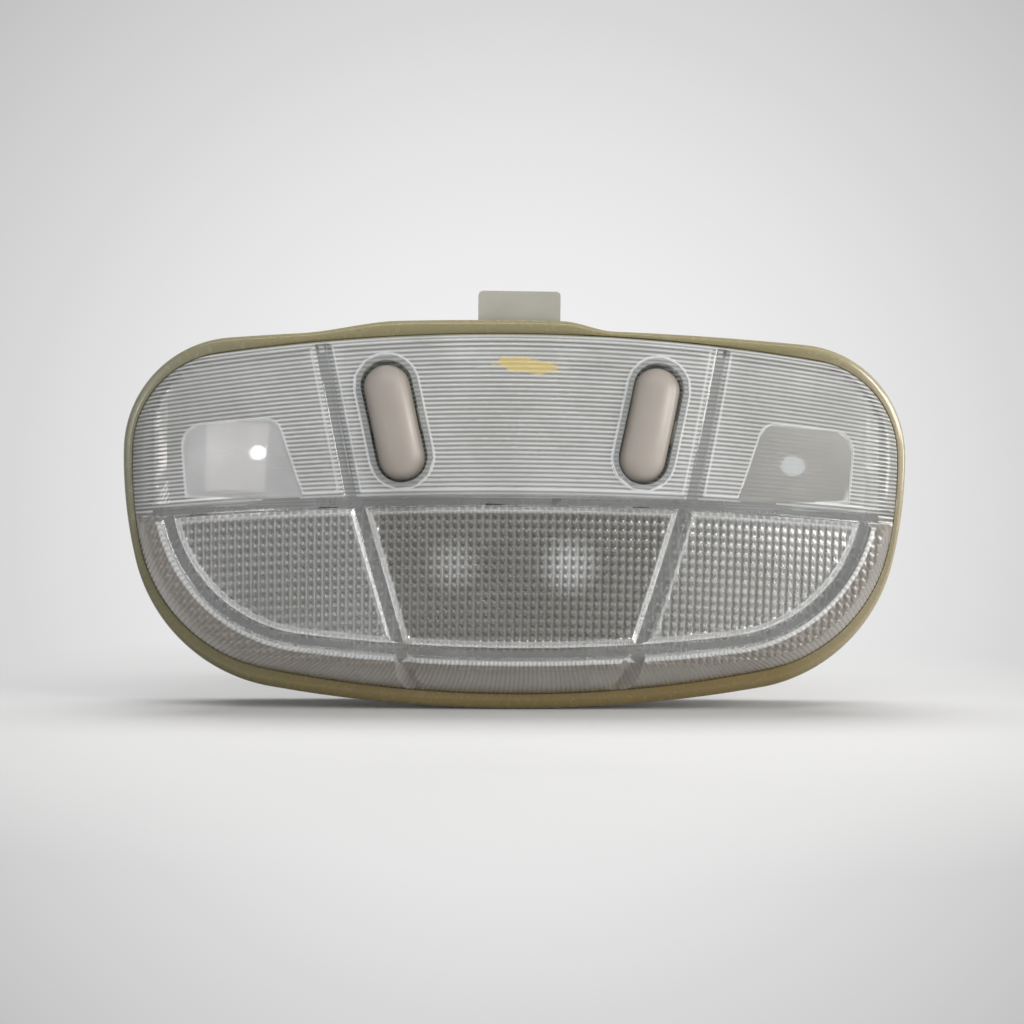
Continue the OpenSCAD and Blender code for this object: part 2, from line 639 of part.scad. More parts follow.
// Sheet trough behind the festoon bulb, with two end walls
trough_z = festoon_z + trough_rise;
module dome_reflector() color([0.86, 0.86, 0.85]) upright() difference() {
    union() {
        intersection() {
            translate([0, festoon_y, trough_z]) rotate([0, 90, 0])
                cylinder(h = trough_l, r = trough_r, center = true, $fn = 120);
            translate([-trough_l / 2, festoon_y - 16, floor_z]) cube([trough_l, 31, trough_z - 4 - floor_z]);
        }
        for (s = [-1, 1]) translate([s * (trough_l / 2 - 5), festoon_y, (floor_z + trough_z - trough_r) / 2 + 0.5])
            cube([3, 12, trough_z - trough_r - floor_z + 1], center = true);
    }
    translate([0, festoon_y, trough_z]) rotate([0, 90, 0]) cylinder(h = trough_l - 2, r = trough_r - 1, center = true, $fn = 120);
    // Slots for the blades, from under the floor to above the sheet
    for (s = [-1, 1]) translate([s * (festoon_l / 2 + cap_l + 1) - 1.7, festoon_y - 4.2, floor_z - cut])
        cube([3.4, 8.4, trough_z - trough_r + 4 + cut - floor_z]);
}

module festoon_glass() color([0.93, 0.93, 0.92, 0.4]) upright() translate([0, festoon_y, festoon_z])
    rotate([0, 90, 0]) cylinder(h = festoon_l, d = festoon_d, center = true);
module festoon_caps() color([0.78, 0.78, 0.76]) upright() for (s = [0, 1]) mirror([s, 0, 0])
    translate([festoon_l / 2, festoon_y, festoon_z]) rotate([0, 90, 0]) {
        cylinder(h = cap_l - 1.5, d = cap_d);
        translate([0, 0, cap_l - 1.5]) cylinder(h = 1.5, d1 = cap_d - 1.5, d2 = 3);
    }

// A bent strip on end: it stands on the floor and holds one cap
contact_x = festoon_l / 2 + cap_l + gap;
module right_contact_body() {
    difference() {
        translate([contact_x, festoon_y - 3.5, floor_z + strip_t])
            cube([strip_t, 7, festoon_z + 5 - floor_z - strip_t]);
        translate([contact_x - cut, festoon_y, festoon_z]) rotate([0, 90, 0]) cylinder(h = strip_t + 2 * cut, d = 2.4);
    }
    translate([contact_x, festoon_y - 3.5, floor_z + strip_t]) cube([7, 7, strip_t]);
}
module right_festoon_contact() color([0.76, 0.68, 0.46]) upright() right_contact_body();
module left_festoon_contact() color([0.76, 0.68, 0.46]) upright() on_right() right_contact_body();

// Bowl behind a window, cut back to its compartment, with a hole for the bulb
holder_z = 1 - bowl_depth;
module left_bowl() {
    translate([-map_x, map_y, holder_z]) difference() {
        cylinder(h = 1.2, r = holder_d / 2 + 0.7);
        translate([0, 0, -cut]) cylinder(h = 1.2 + 2 * cut, r = map_bulb_d / 2 + 0.6);
    }
    intersection() {
        translate([-map_x, map_y, 0]) rotate_extrude($fn = 96) difference() {
            intersection() {
                translate([0, bowl_r - bowl_depth]) circle(r = bowl_r, $fn = 96);
                translate([0, -bowl_depth]) square([bowl_r, bowl_depth + 2]);
            }
            translate([0, bowl_r - bowl_depth]) circle(r = bowl_r - 1, $fn = 96);
            translate([-cut, -bowl_depth - cut]) square([map_bulb_d / 2 + 0.6 + cut, bowl_depth + 3]);
        }
        translate([1 - bay_out, channel_y + 1.4, floor_z])
            cube([bay_out - bay_in - 3.5, 2 * bowl_r, housing_depth + 3]);
    }
}
module left_reflector() color([0.86, 0.86, 0.86]) upright() left_bowl();
module right_reflector() color([0.86, 0.86, 0.86]) upright() on_right() left_bowl();

module left_bulb() translate([-map_x, map_y, holder_z]) {
    cylinder(h = map_bulb_l, d = map_bulb_d);
    translate([0, 0, map_bulb_l]) sphere(d = map_bulb_d);
}
module left_map_bulb() color([0.93, 0.93, 0.92, 0.4]) upright() left_bulb();
module right_map_bulb() color([0.93, 0.93, 0.92, 0.4]) upright() on_right() left_bulb();
module left_holder() translate([-map_x, map_y, floor_z]) {
    cylinder(h = holder_z - floor_z, d = holder_d);
    for (a = [0, 180]) rotate(a) translate([holder_d / 2 - 0.5, -2, 0]) cube([3, 4, 2]);
}
module left_bulb_holder() color([0.20, 0.20, 0.20]) upright() left_holder();
module right_bulb_holder() color([0.20, 0.20, 0.20]) upright() on_right() left_holder();

// Flat strips on the housing's floor, from under each contact's foot to the outer terminals
module right_strip() translate([0, 0, floor_z]) linear_extrude(strip_t)
    polygon([[14, festoon_y - 3.5], [contact_x + 7, festoon_y - 3.5], [contact_x + 7, festoon_y + 3.5],
        [18, festoon_y + 3.5], [18, connector_y - pin_w / 2], [pin_x(terminals - 1) - 2, connector_y - pin_w / 2],
        [pin_x(terminals - 1) - 2, connector_y - 5], [14, connector_y - 5]]);
module feed_strip() color([0.76, 0.68, 0.46]) upright() right_strip();
module ground_strip() color([0.76, 0.68, 0.46]) upright() on_right() right_strip();

// Fixed contacts under each rocker, and the leaf spring that its foot rides on
module left_strip_body() translate([0, 0, cradle_z - pivot.z]) translate([-2.5, -cradle_l / 2 + 1, 0])
    cube([5, cradle_l - 2, strip_t]);
spring_t = 0.4;
module left_spring_body() {
    rise = 3.2 - strip_t - gap;
    translate([2.2, 0, cradle_z - pivot.z + strip_t]) rotate([0, -90, 0]) linear_extrude(4.4) difference() {
        polygon([[0, -8], [rise, -2.2], [rise, 2.2], [0, 8]]);
        polygon([[-cut, -8 + spring_t], [rise - spring_t, -2], [rise - spring_t, 2], [-cut, 8 - spring_t]]);
    }
}
module left_switch_strip() color([0.76, 0.68, 0.46]) upright() at_pivot() left_strip_body();
module right_switch_strip() color([0.76, 0.68, 0.46]) upright() on_right() at_pivot() left_strip_body();
module left_switch_spring() color([0.82, 0.80, 0.74]) upright() at_pivot() left_spring_body();
module right_switch_spring() color([0.82, 0.80, 0.74]) upright() on_right() at_pivot() left_spring_body();

module terminal_pins() color([0.78, 0.74, 0.62]) upright() for (i = [0:terminals - 1])
    translate([pin_x(i) - pin_w / 2, connector_y - pin_w / 2, -housing_depth - pin_out])
        cube([pin_w, pin_w, pin_out + wall + 5]);

// Spring clips that bite behind the roof panel at each end
module right_clip_body() translate([clip_x, foot_o[3] + clip_w / 2, 0]) rotate([90, 0, 0]) linear_extrude(clip_w)
    polygon([[0, -clip_low], [clip_t, -clip_low], [clip_t, 3 - clip_low], [clip_out, -clip_belly],
        [clip_out - 1.2, -panel_gap], [clip_out - 2.2, -panel_gap], [clip_out - 1.2, -clip_belly], [0, 4 - clip_low]]);
module right_spring_clip() color([0.62, 0.63, 0.66]) upright() right_clip_body();
module left_spring_clip() color([0.62, 0.63, 0.66]) upright() on_right() right_clip_body();

module heat_shield() color([0.75, 0.76, 0.78]) upright() translate([-shield_w / 2, festoon_y - shield_h / 2, floor_z])
    cube([shield_w, shield_h, 0.5]);

bezel();
lens();
left_rocker();
right_rocker();
rear_housing();
roof_tongue();
left_switch_base();
right_switch_base();
dome_reflector();
left_reflector();
right_reflector();
festoon_glass();
festoon_caps();
left_festoon_contact();
right_festoon_contact();
left_map_bulb();
right_map_bulb();
left_bulb_holder();
right_bulb_holder();
ground_strip();
feed_strip();
left_switch_strip();
right_switch_strip();
left_switch_spring();
right_switch_spring();
terminal_pins();
left_spring_clip();
right_spring_clip();
heat_shield();
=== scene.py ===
"""Looks of the car dome light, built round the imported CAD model."""
import math

import bmesh
import bpy
import numpy as np
from mathutils import Matrix, Vector
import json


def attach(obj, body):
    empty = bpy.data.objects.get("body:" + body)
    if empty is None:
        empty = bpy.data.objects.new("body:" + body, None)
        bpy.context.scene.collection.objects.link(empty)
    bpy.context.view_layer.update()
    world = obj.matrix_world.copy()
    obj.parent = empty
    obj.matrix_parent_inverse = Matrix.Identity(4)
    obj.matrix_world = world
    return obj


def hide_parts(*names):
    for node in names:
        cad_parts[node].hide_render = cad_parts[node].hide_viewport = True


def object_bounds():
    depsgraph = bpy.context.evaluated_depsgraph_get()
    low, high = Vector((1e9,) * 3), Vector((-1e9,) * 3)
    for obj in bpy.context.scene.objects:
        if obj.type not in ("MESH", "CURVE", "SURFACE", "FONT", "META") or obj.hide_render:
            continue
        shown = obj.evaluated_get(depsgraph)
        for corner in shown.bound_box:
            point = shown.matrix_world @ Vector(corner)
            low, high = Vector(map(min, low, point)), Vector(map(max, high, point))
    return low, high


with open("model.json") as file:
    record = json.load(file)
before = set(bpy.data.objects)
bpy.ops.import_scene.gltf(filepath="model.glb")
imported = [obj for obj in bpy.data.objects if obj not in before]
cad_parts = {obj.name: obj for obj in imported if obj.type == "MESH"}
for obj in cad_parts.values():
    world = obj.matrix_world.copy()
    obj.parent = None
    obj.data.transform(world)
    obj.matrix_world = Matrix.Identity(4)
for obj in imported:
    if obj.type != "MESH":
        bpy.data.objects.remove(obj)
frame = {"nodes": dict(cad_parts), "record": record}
cad_low, cad_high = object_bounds()
NODES = frame["nodes"]
scene = bpy.context.scene

# Sizes in millimetres, as in part.scad: x to the right, y towards the tongue, z out of the lens.
# An outline is its top, bottom, right end and that end's height, then its arcs' radii from top to bottom.
BEZEL = (49.3, 51.4, 103.8, 15.0, 900.0, 30.0, 118.0, 44.0, 375.0)
FOOT = (47.9, 47.3, 101.2, 13.0, 520.0, 26.0, 115.0, 42.0, 340.0)
FACE = (46.5, 38.5, 95.7, 17.0, 520.0, 18.0, 150.0, 42.0, 520.0)
BEZEL_T = 3.2
LEDGE_T = 1.4
LEDGE_W = 4.0
FOOT_Z = 3.4
LENS_FIT = 0.25
LENS_H = 18.0
CROWN_RX = 430.0
CROWN_RY = 160.0
CROWN_Y = 5.0
LENS_WALL = 2.6
LENS_T = 3.0
FLUTE_PITCH = 1.17
FLUTE_DEPTH = 0.3
WAFFLE_W = 2.06
WAFFLE_H = 2.35
WAFFLE_DEPTH = 0.5
RIB_PITCH = 1.3
RIB_DEPTH = 0.14
CHANNEL_Y = 4.3
CHANNEL_R = 1000.0
CHANNEL_FLOOR = 2.6
CHANNEL_MOUTH = 5.2
CHANNEL_DEPTH = 1.4
UPPER_CH = (52.9, 44.1)
LOWER_CH = (42.6, 27.4)
WINDOW_DEPTH = 0.7
WINDOW_X = (56.3, 87.0)
WINDOW_TOP = 25.0
ROCKER_W = 12.0
ROCKER_L = 30.6
ROCKER_X = 33.4
ROCKER_Y = 24.6
ROCKER_LEAN = 12.3
SIDE_GAP = 0.7
END_GAP = 0.9
LIP_W = 1.7
LIP_H = 0.5
ROCKER_RISE = 0.9
PILLOW_DROP = 3.4
PILLOW_R = 90.0
PIVOT_DEPTH = 6.5
TRUNNION_R = 1.5
TRUNNION_L = 17.0
HUB_LOW = (-5.0, -3.4, -2.9)
HUB_HIGH = (5.0, 3.4, 2.0)
CAM_W = 6.0
CAM_L = 4.0
FOOT_R = 8.5
RECESS = 0.3
FLANGE_EDGE = 1.2
LAND_H = 2.3
LAND_X = (-58.0, -32.0, 11.0, 25.0)
TAB_X = 18.0
TAB_W = 12.0
TAB_T = 1.4
TAB_END = -6.0
NUB_TOP = -4.4
NUB_OUT = 1.3
INNER_INSET = 7.0
HOLDER_Z = -13.0
MAP_X = 72.15
MAP_Y = 14.5
MAP_BULB_R = 5.0
MAP_BULB_L = 12.0
FESTOON = (-14.0, -2.0)
FESTOON_R = 5.3
FESTOON_L = 27.0
CAP_R = 3.8
CAP_L = 6.0
OUTLINE_STEP = 1.6
HIGH = 40.0
FAR = 9.0

# The photograph's width in pixels, its scale and its middle, and the view's angles in degrees
FRAME_PX = 1024
PX_PER_MM = 3.76
SHIFT_PX = (-6.1, 3.0)
VIEW_SIDE = 4.0
VIEW_LIFT = 2.0
VIEW_ROLL = 0.6
VIEW_DISTANCE = 0.6
SENSOR = 36


# Camera at the photograph's angle
def place_camera():
    data = bpy.data.cameras.new("camera")
    cam = bpy.data.objects.new("camera", data)
    scene.collection.objects.link(cam)
    scene.camera = cam
    side, lift, roll = (math.radians(angle) for angle in (VIEW_SIDE, VIEW_LIFT, VIEW_ROLL))
    look = Vector((math.sin(side) * math.cos(lift), math.cos(side) * math.cos(lift), -math.sin(lift)))
    right = Vector((math.cos(side), -math.sin(side), 0))
    up = right.cross(look)
    right, up = (math.cos(roll) * right + math.sin(roll) * up, math.cos(roll) * up - math.sin(roll) * right)
    turn = Matrix((right, up, -look)).transposed().to_4x4()
    cam.matrix_world = Matrix.Translation(-look * VIEW_DISTANCE) @ turn
    data.sensor_width = SENSOR
    data.lens = PX_PER_MM * VIEW_DISTANCE * 1000 / FRAME_PX * SENSOR
    data.shift_x = SHIFT_PX[0] / FRAME_PX
    data.shift_y = SHIFT_PX[1] / FRAME_PX
    data.clip_start = 0.01
    data.clip_end = 50


place_camera()


# Shader helpers
def new_material(name):
    mat = bpy.data.materials.new(name)
    mat.use_nodes = True
    tree = mat.node_tree
    tree.nodes.clear()
    out = tree.nodes.new("ShaderNodeOutputMaterial")
    return mat, tree, out


def node(tree, kind, **values):
    n = tree.nodes.new(kind)
    for key, value in values.items():
        setattr(n, key, value)
    return n


def noise(tree, coords, scale, detail=4.0, rough=0.55):
    n = node(tree, "ShaderNodeTexNoise")
    n.inputs["Scale"].default_value = scale
    n.inputs["Detail"].default_value = detail
    n.inputs["Roughness"].default_value = rough
    tree.links.new(coords, n.inputs["Vector"])
    return n.outputs["Fac"]


def ramp(tree, value, stops):
    r = node(tree, "ShaderNodeValToRGB")
    r.color_ramp.elements[0].position = stops[0][0]
    r.color_ramp.elements[1].position = stops[-1][0]
    for position, _ in stops[1:-1]:
        r.color_ramp.elements.new(position)
    for element, (_, colour) in zip(r.color_ramp.elements, stops):
        element.color = (*colour, 1)
    tree.links.new(value, r.inputs["Fac"])
    return r.outputs["Color"]


def remap(tree, value, a, b, c, d):
    m = node(tree, "ShaderNodeMapRange")
    for key, v in zip(("From Min", "From Max", "To Min", "To Max"), (a, b, c, d)):
        m.inputs[key].default_value = v
    tree.links.new(value, m.inputs["Value"])
    return m.outputs["Result"]


def bump(tree, height, strength, distance):
    b = node(tree, "ShaderNodeBump")
    b.inputs["Strength"].default_value = strength
    b.inputs["Distance"].default_value = distance
    tree.links.new(height, b.inputs["Height"])
    return b.outputs["Normal"]


def srgb(r, g, b):
    def lin(c):
        c /= 255
        return c / 12.92 if c <= 0.04045 else ((c + 0.055) / 1.055) ** 2.4
    return (lin(r), lin(g), lin(b))


def principled(tree, out, **values):
    p = tree.nodes.new("ShaderNodeBsdfPrincipled")
    for key, value in values.items():
        p.inputs[key.replace("_", " ")].default_value = value
    tree.links.new(p.outputs["BSDF"], out.inputs["Surface"])
    return p


def mottled(name, dark, light, scale=60.0, rough=(0.3, 0.45), grain=0.0, **values):
    """A moulded or rolled surface: slow colour variation, uneven gloss and a fine grain."""
    mat, tree, out = new_material(name)
    coords = tree.nodes.new("ShaderNodeTexCoord").outputs["Object"]
    p = principled(tree, out, **values)
    slow = noise(tree, coords, scale, 5)
    tree.links.new(ramp(tree, slow, ((0.3, dark), (0.7, light))), p.inputs["Base Color"])
    tree.links.new(remap(tree, noise(tree, coords, scale * 4, 3), 0.3, 0.7, *rough), p.inputs["Roughness"])
    if grain:
        tree.links.new(bump(tree, noise(tree, coords, 2600, 2), grain, 0.00006), p.inputs["Normal"])
    return mat


# Materials
# Looks of the lens's panels, in the order of the traits below: how milky, bright and rough each is, how
# dark the painted shade in the creases of its pattern is, and whether it has prisms, ridges in the shading
# alone, painted highlight lines along the channels, and painted highlight beads on the ridge
LOOK = {
    "flutes": (0.50, 0.90, 0.10, 0.60, 0, 0, 1, 0),
    "waffle": (0.20, 0.75, 0.24, 0.54, 1, 0, 1, 1),
    # Painted shade: the middle panel of prisms is darker than those beside it
    "middle": (0.14, 0.57, 0.24, 0.54, 1, 0, 1, 1),
    # The ends have no flutes in their shape: their stripes are painted shade in the creases, with a bump
    "end": (0.50, 0.88, 0.12, 0.56, 0, 1, 0, 0),
    "flank": (0.80, 0.28, 0.30, 0.28, 0, 0, 0, 1),
    "channel": (0.20, 0.56, 0.10, 0, 0, 0, 0, 1),
    # The two windows are the same clear plastic: the left one is lighter as painted light and the right one
    # darker as painted shade
    "left_window_painted_light": (0.40, 0.68, 0.32, 0, 0, 0, 0, 0),
    "right_window_painted_shade": (0.40, 0.42, 0.32, 0, 0, 0, 0, 0),
    "lip": (0.25, 0.62, 0.08, 0, 0, 0, 0, 0),
}
TRAITS = ("milk", "tint", "gloss", "crease", "prism", "bumps", "strip", "bead")


def attribute(tree, name):
    return node(tree, "ShaderNodeAttribute", attribute_name=name).outputs["Fac"]


def feed(tree, sockets, values):
    """Gives each socket a plain value or a link to another socket."""
    for socket, value in zip(sockets, values):
        if isinstance(value, bpy.types.NodeSocket):
            tree.links.new(value, socket)
        else:
            socket.default_value = value


def calc(tree, operation, a, b=0.0):
    m = node(tree, "ShaderNodeMath", operation=operation)
    feed(tree, m.inputs, (a, b))
    return m.outputs[0]


def vector(tree, operation, *values):
    m = node(tree, "ShaderNodeVectorMath", operation=operation)
    feed(tree, m.inputs, values)
    return m.outputs["Value" if operation in ("LENGTH", "DOT_PRODUCT") else "Vector"]


def wave(tree, phase):
    """0 in each crease and 1 on each ridge, for a phase that counts the ridges."""
    turn = calc(tree, "MULTIPLY", phase, math.pi)
    return calc(tree, "ABSOLUTE", calc(tree, "SINE", turn))


def blend(tree, a, b, amount):
    """a where amount is 0 and b where it is 1."""
    m = node(tree, "ShaderNodeMix", data_type="FLOAT")
    feed(tree, (m.inputs[0], m.inputs[2], m.inputs[3]), (amount, a, b))
    return m.outputs[0]


def painted(tree, colour, share, paint):
    """A colour with a share of a paint over it."""
    m = node(tree, "ShaderNodeMix", data_type="RGBA")
    feed(tree, (m.inputs[0], m.inputs[6], m.inputs[7]), (share, colour, (*paint, 1)))
    return m.outputs[2]


def finish_mix(tree, out, share, a, b):
    """Makes the surface shader a where share is 0 and b where it is 1."""
    both = tree.nodes.new("ShaderNodeMixShader")
    feed(tree, both.inputs, (share, a, b))
    tree.links.new(both.outputs["Shader"], out.inputs["Surface"])


def oval_reach(tree, coords, place, size, turn=0.0):
    """0 in the middle of an oval on the face and 1 on its outline."""
    spot = node(tree, "ShaderNodeMapping", vector_type="TEXTURE")
    spot.inputs["Location"].default_value = (place[0], 0.0, place[1])
    spot.inputs["Rotation"].default_value = (0.0, turn, 0.0)
    spot.inputs["Scale"].default_value = (size[0], 10.0, size[1])
    tree.links.new(coords, spot.inputs["Vector"])
    return vector(tree, "LENGTH", spot.outputs[0])


def lens_material():
    mat, tree, out = new_material("clear_lens")
    coords = tree.nodes.new("ShaderNodeTexCoord").outputs["Object"]
    p = principled(tree, out, IOR=1.49, Coat_Weight=0.5, Coat_Roughness=0.04, Coat_IOR=1.49)
    trait = {name: attribute(tree, name) for name in TRAITS}
    haze = ramp(tree, noise(tree, coords, 45, 5), ((0.3, srgb(224, 227, 226)), (0.7, srgb(247, 250, 252))))
    # Painted shade darkens the creases of the flutes and ribs. The prisms are painted as dark cells with a
    # painted highlight dot, and painted highlight bars.
    across, down = wave(tree, attribute(tree, "column")), wave(tree, attribute(tree, "row"))
    hollow = calc(tree, "SUBTRACT", 1.0, calc(tree, "POWER", calc(tree, "MULTIPLY", across, down), 2.4))
    highlight_bars = calc(tree, "POWER", calc(tree, "SUBTRACT", 1.0, across), 1.4)
    highlight_dots = calc(tree, "POWER", calc(tree, "MULTIPLY", across, down), 4.0)
    light = calc(tree, "MAXIMUM", calc(tree, "MULTIPLY", highlight_bars, 0.8), highlight_dots)
    pattern = blend(tree, hollow, calc(tree, "SUBTRACT", 1.0, light), trait["prism"])
    painted_shade_and_highlight = calc(tree, "SUBTRACT", 1.0, calc(tree, "MULTIPLY", pattern, trait["crease"]))
    # Painted highlights: bright lines on the edges of the panels along the channels and round the windows and
    # rockers, and bright beads on the ridge round the lower flank
    edge = attribute(tree, "edge")
    line = calc(tree, "MULTIPLY", remap(tree, edge, 3.25, 2.95, 0.0, 1.0),
                remap(tree, edge, 2.3, 2.6, 0.0, 0.45))
    line = calc(tree, "MULTIPLY", line, trait["strip"])
    frame_highlight = remap(tree, attribute(tree, "pane"), 0.45, 0.15, 0.0, 0.75)
    ridge = remap(tree, attribute(tree, "rim"), 0.8, 0.4, 0.0, 1.0)
    ridge = calc(tree, "MULTIPLY", ridge, trait["bead"])
    bead_highlights = calc(tree, "MULTIPLY", ridge, calc(tree, "ADD", 0.35, calc(tree, "MULTIPLY", across, 0.65)))
    painted_highlights = calc(tree, "MAXIMUM", calc(tree, "MAXIMUM", line, frame_highlight), bead_highlights)
    # Painted glints: the prisms over the caps of the dome bulb are painted brighter
    left = remap(tree, oval_reach(tree, coords, (-0.0178, -0.0125), (0.008, 0.008)), 1.0, 0.3, 0.0, 0.6)
    right = remap(tree, oval_reach(tree, coords, (0.0125, -0.0125), (0.009, 0.009)), 1.0, 0.3, 0.0, 1.0)
    caps = calc(tree, "MULTIPLY", calc(tree, "MAXIMUM", left, right), trait["prism"])
    tint = calc(tree, "ADD", trait["tint"], calc(tree, "MULTIPLY", caps, 0.45))
    # Each panel's brightness with its painted shade and highlights, and the painted highlight lines over it
    bright = blend(tree, calc(tree, "MULTIPLY", tint, painted_shade_and_highlight), 0.9, painted_highlights)
    warmth = ramp(tree, bright, ((0.2, (1.0, 0.88, 0.75)), (0.55, (1.0, 1.0, 1.0))))
    colour = node(tree, "ShaderNodeVectorMath", operation="SCALE")
    tree.links.new(vector(tree, "MULTIPLY", haze, warmth), colour.inputs[0])
    tree.links.new(bright, colour.inputs["Scale"])
    # A thin, broken smear of yellow paint near the upper edge
    away = oval_reach(tree, coords, (0.001, 0.0392), (0.0105, 0.0021), 0.1)
    ragged = calc(tree, "MULTIPLY", noise(tree, coords, 260, 4, 0.6), 1.3)
    smear = remap(tree, calc(tree, "ADD", away, ragged), 1.65, 1.35, 0.0, 0.92)
    colour = painted(tree, colour.outputs[0], smear, srgb(186, 168, 108))
    tree.links.new(colour, p.inputs["Base Color"])
    # The painted highlights of the prisms and caps and the painted highlight lines are milkier, and the paint
    # is fully milky
    prisms = calc(tree, "MULTIPLY", calc(tree, "ADD", trait["prism"], caps), 0.26)
    prisms = calc(tree, "MULTIPLY", light, prisms)
    milk = blend(tree, blend(tree, calc(tree, "ADD", trait["milk"], prisms), 0.7, painted_highlights), 1.0, smear)
    tree.links.new(calc(tree, "SUBTRACT", 1.0, milk), p.inputs["Transmission Weight"])
    dust = remap(tree, noise(tree, coords, 120, 4, 0.6), 0.35, 0.75, 0.0, 0.08)
    tree.links.new(calc(tree, "ADD", dust, trait["gloss"]), p.inputs["Roughness"])
    tree.links.new(bump(tree, calc(tree, "MULTIPLY", down, trait["bumps"]), 1.0, 0.0003), p.inputs["Normal"])
    # Part of the lamps' light reaches what is behind the lens
    through = tree.nodes.new("ShaderNodeBsdfTransparent")
    through.inputs["Color"].default_value = (0.62, 0.62, 0.61, 1)
    shadow = tree.nodes.new("ShaderNodeLightPath").outputs["Is Shadow Ray"]
    finish_mix(tree, out, shadow, p.outputs["BSDF"], through.outputs["BSDF"])
    return mat


def bezel_material():
    mat, tree, out = new_material("olive_plastic")
    coords = tree.nodes.new("ShaderNodeTexCoord").outputs["Object"]
    p = principled(tree, out, Coat_Weight=0.6, Coat_Roughness=0.08, IOR=1.5, Subsurface_Weight=0.15,
                   Subsurface_Scale=0.004)
    p.inputs["Subsurface Radius"].default_value = (1.0, 0.8, 0.35)
    # Painted shade: darker and browner towards its lower edge
    place = node(tree, "ShaderNodeSeparateXYZ")
    tree.links.new(coords, place.inputs[0])
    high = remap(tree, place.outputs["Z"], -0.05, 0.05, 0.0, 0.75)
    slow = calc(tree, "ADD", high, calc(tree, "MULTIPLY", noise(tree, coords, 28, 4), 0.25))
    colour = ramp(tree, slow, ((0.08, srgb(106, 89, 46)), (0.3, srgb(112, 101, 62)),
                               (0.6, srgb(122, 115, 80)), (0.95, srgb(134, 127, 94))))
    # Painted shade and light: greyer at its left end and darker low on the left, and paler at its right end
    # as a painted highlight
    painted_shade_low_left = calc(tree, "MULTIPLY", remap(tree, place.outputs["X"], -0.02, -0.08, 0.0, 0.7),
                    remap(tree, place.outputs["Z"], 0.005, -0.02, 0.0, 1.0))
    left = remap(tree, place.outputs["X"], -0.06, -0.1, 0.0, 0.65)
    right = remap(tree, place.outputs["X"], 0.07, 0.1, 0.0, 0.65)
    for share, tone in ((left, (110, 111, 97)), (painted_shade_low_left, (80, 76, 42)), (right, (164, 155, 132))):
        colour = painted(tree, colour, share, srgb(*tone))
    tree.links.new(colour, p.inputs["Base Color"])
    worn = remap(tree, noise(tree, coords, 300, 5, 0.7), 0.35, 0.7, 0.18, 0.34)
    tree.links.new(worn, p.inputs["Roughness"])
    tree.links.new(bump(tree, noise(tree, coords, 420, 3), 0.08, 0.0001), p.inputs["Normal"])
    return mat


MATS = {
    "clear_lens": lens_material(),
    "olive_plastic": bezel_material(),
    "grey_plastic": mottled("grey_plastic", srgb(142, 135, 128), srgb(154, 147, 140), 30, (0.36, 0.48), 0.05,
                            Coat_Weight=0.05),
    "pale_plastic": mottled("pale_plastic", srgb(150, 149, 140), srgb(166, 165, 156), 40, (0.42, 0.6), 0.25),
    "bulb_glass": mottled("bulb_glass", (0.93, 0.94, 0.94), (0.98, 0.98, 0.98), 60, (0.01, 0.05),
                          Transmission_Weight=1.0, IOR=1.45),
    "black_plastic": mottled("black_plastic", (0.02, 0.02, 0.02), (0.04, 0.04, 0.038), 80, (0.35, 0.55), 0.3),
}
for metal, dark, light, size, gloss, grain in (
        ("reflector_metal", (0.72, 0.73, 0.75), (0.85, 0.86, 0.88), 60, (0.12, 0.28), 0.0),
        ("cap_metal", (0.55, 0.55, 0.54), (0.72, 0.72, 0.70), 120, (0.2, 0.38), 0.0),
        ("contact_brass", (0.52, 0.40, 0.19), (0.68, 0.56, 0.30), 120, (0.25, 0.42), 0.1),
        ("spring_steel", (0.38, 0.39, 0.41), (0.55, 0.56, 0.58), 140, (0.22, 0.4), 0.1),
        ("shield_metal", (0.60, 0.61, 0.63), (0.75, 0.76, 0.78), 90, (0.25, 0.4), 0.1)):
    MATS[metal] = mottled(metal, dark, light, size, gloss, grain, Metallic=1.0)
SLOT = {s["node"]: s["material_slot"] for s in frame["record"]["subparts"]}


def dress(obj, slot_name, body):
    obj.data.materials.clear()
    obj.data.materials.append(MATS[slot_name])
    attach(obj, body)


# Outlines: rings of eight tangent arcs
def heading(v):
    return math.atan2(v[1], v[0])


def meet(a, ra, b, rb, side):
    d = np.linalg.norm(b - a)
    along = (ra * ra - rb * rb + d * d) / (2 * d)
    off = math.sqrt(ra * ra - along * along)
    u = (b - a) / d
    return a + along * u + side * off * np.array([-u[1], u[0]])


def arcs(o):
    top, bottom = np.array([0, o[0] - o[4]]), np.array([0, o[8] - o[1]])
    end = np.array([o[2] - o[6], o[3]])
    up = meet(top, o[4] - o[5], end, o[6] - o[5], -1)
    low = meet(bottom, o[8] - o[7], end, o[6] - o[7], 1)
    flip = np.array([-1, 1])
    pi = math.pi
    a_low, a_up = heading(low - end), heading(up - end)
    a_top, a_bottom = heading(up - top), heading(low - bottom)
    return [(end, o[6], a_low, a_up), (up, o[5], a_up, a_top), (top, o[4], a_top, pi - a_top),
            (up * flip, o[5], pi - a_top, pi - a_up), (end * flip, o[6], pi - a_up, pi - a_low),
            (low * flip, o[7], pi - a_low, pi - a_bottom), (bottom, o[8], pi - a_bottom, 2 * pi + a_bottom),
            (low, o[7], a_bottom, a_low)]


def steps_for(o, plain, ribs=None):
    """Steps along each arc: by a plain spacing, or four steps to a rib on the lower three."""
    counts = []
    for i, (_, r, a, b) in enumerate(arcs(o)):
        length = r * (b - a)
        counts.append(4 * round(length / ribs) if ribs and i > 4 else max(4, round(length / plain)))
    return counts


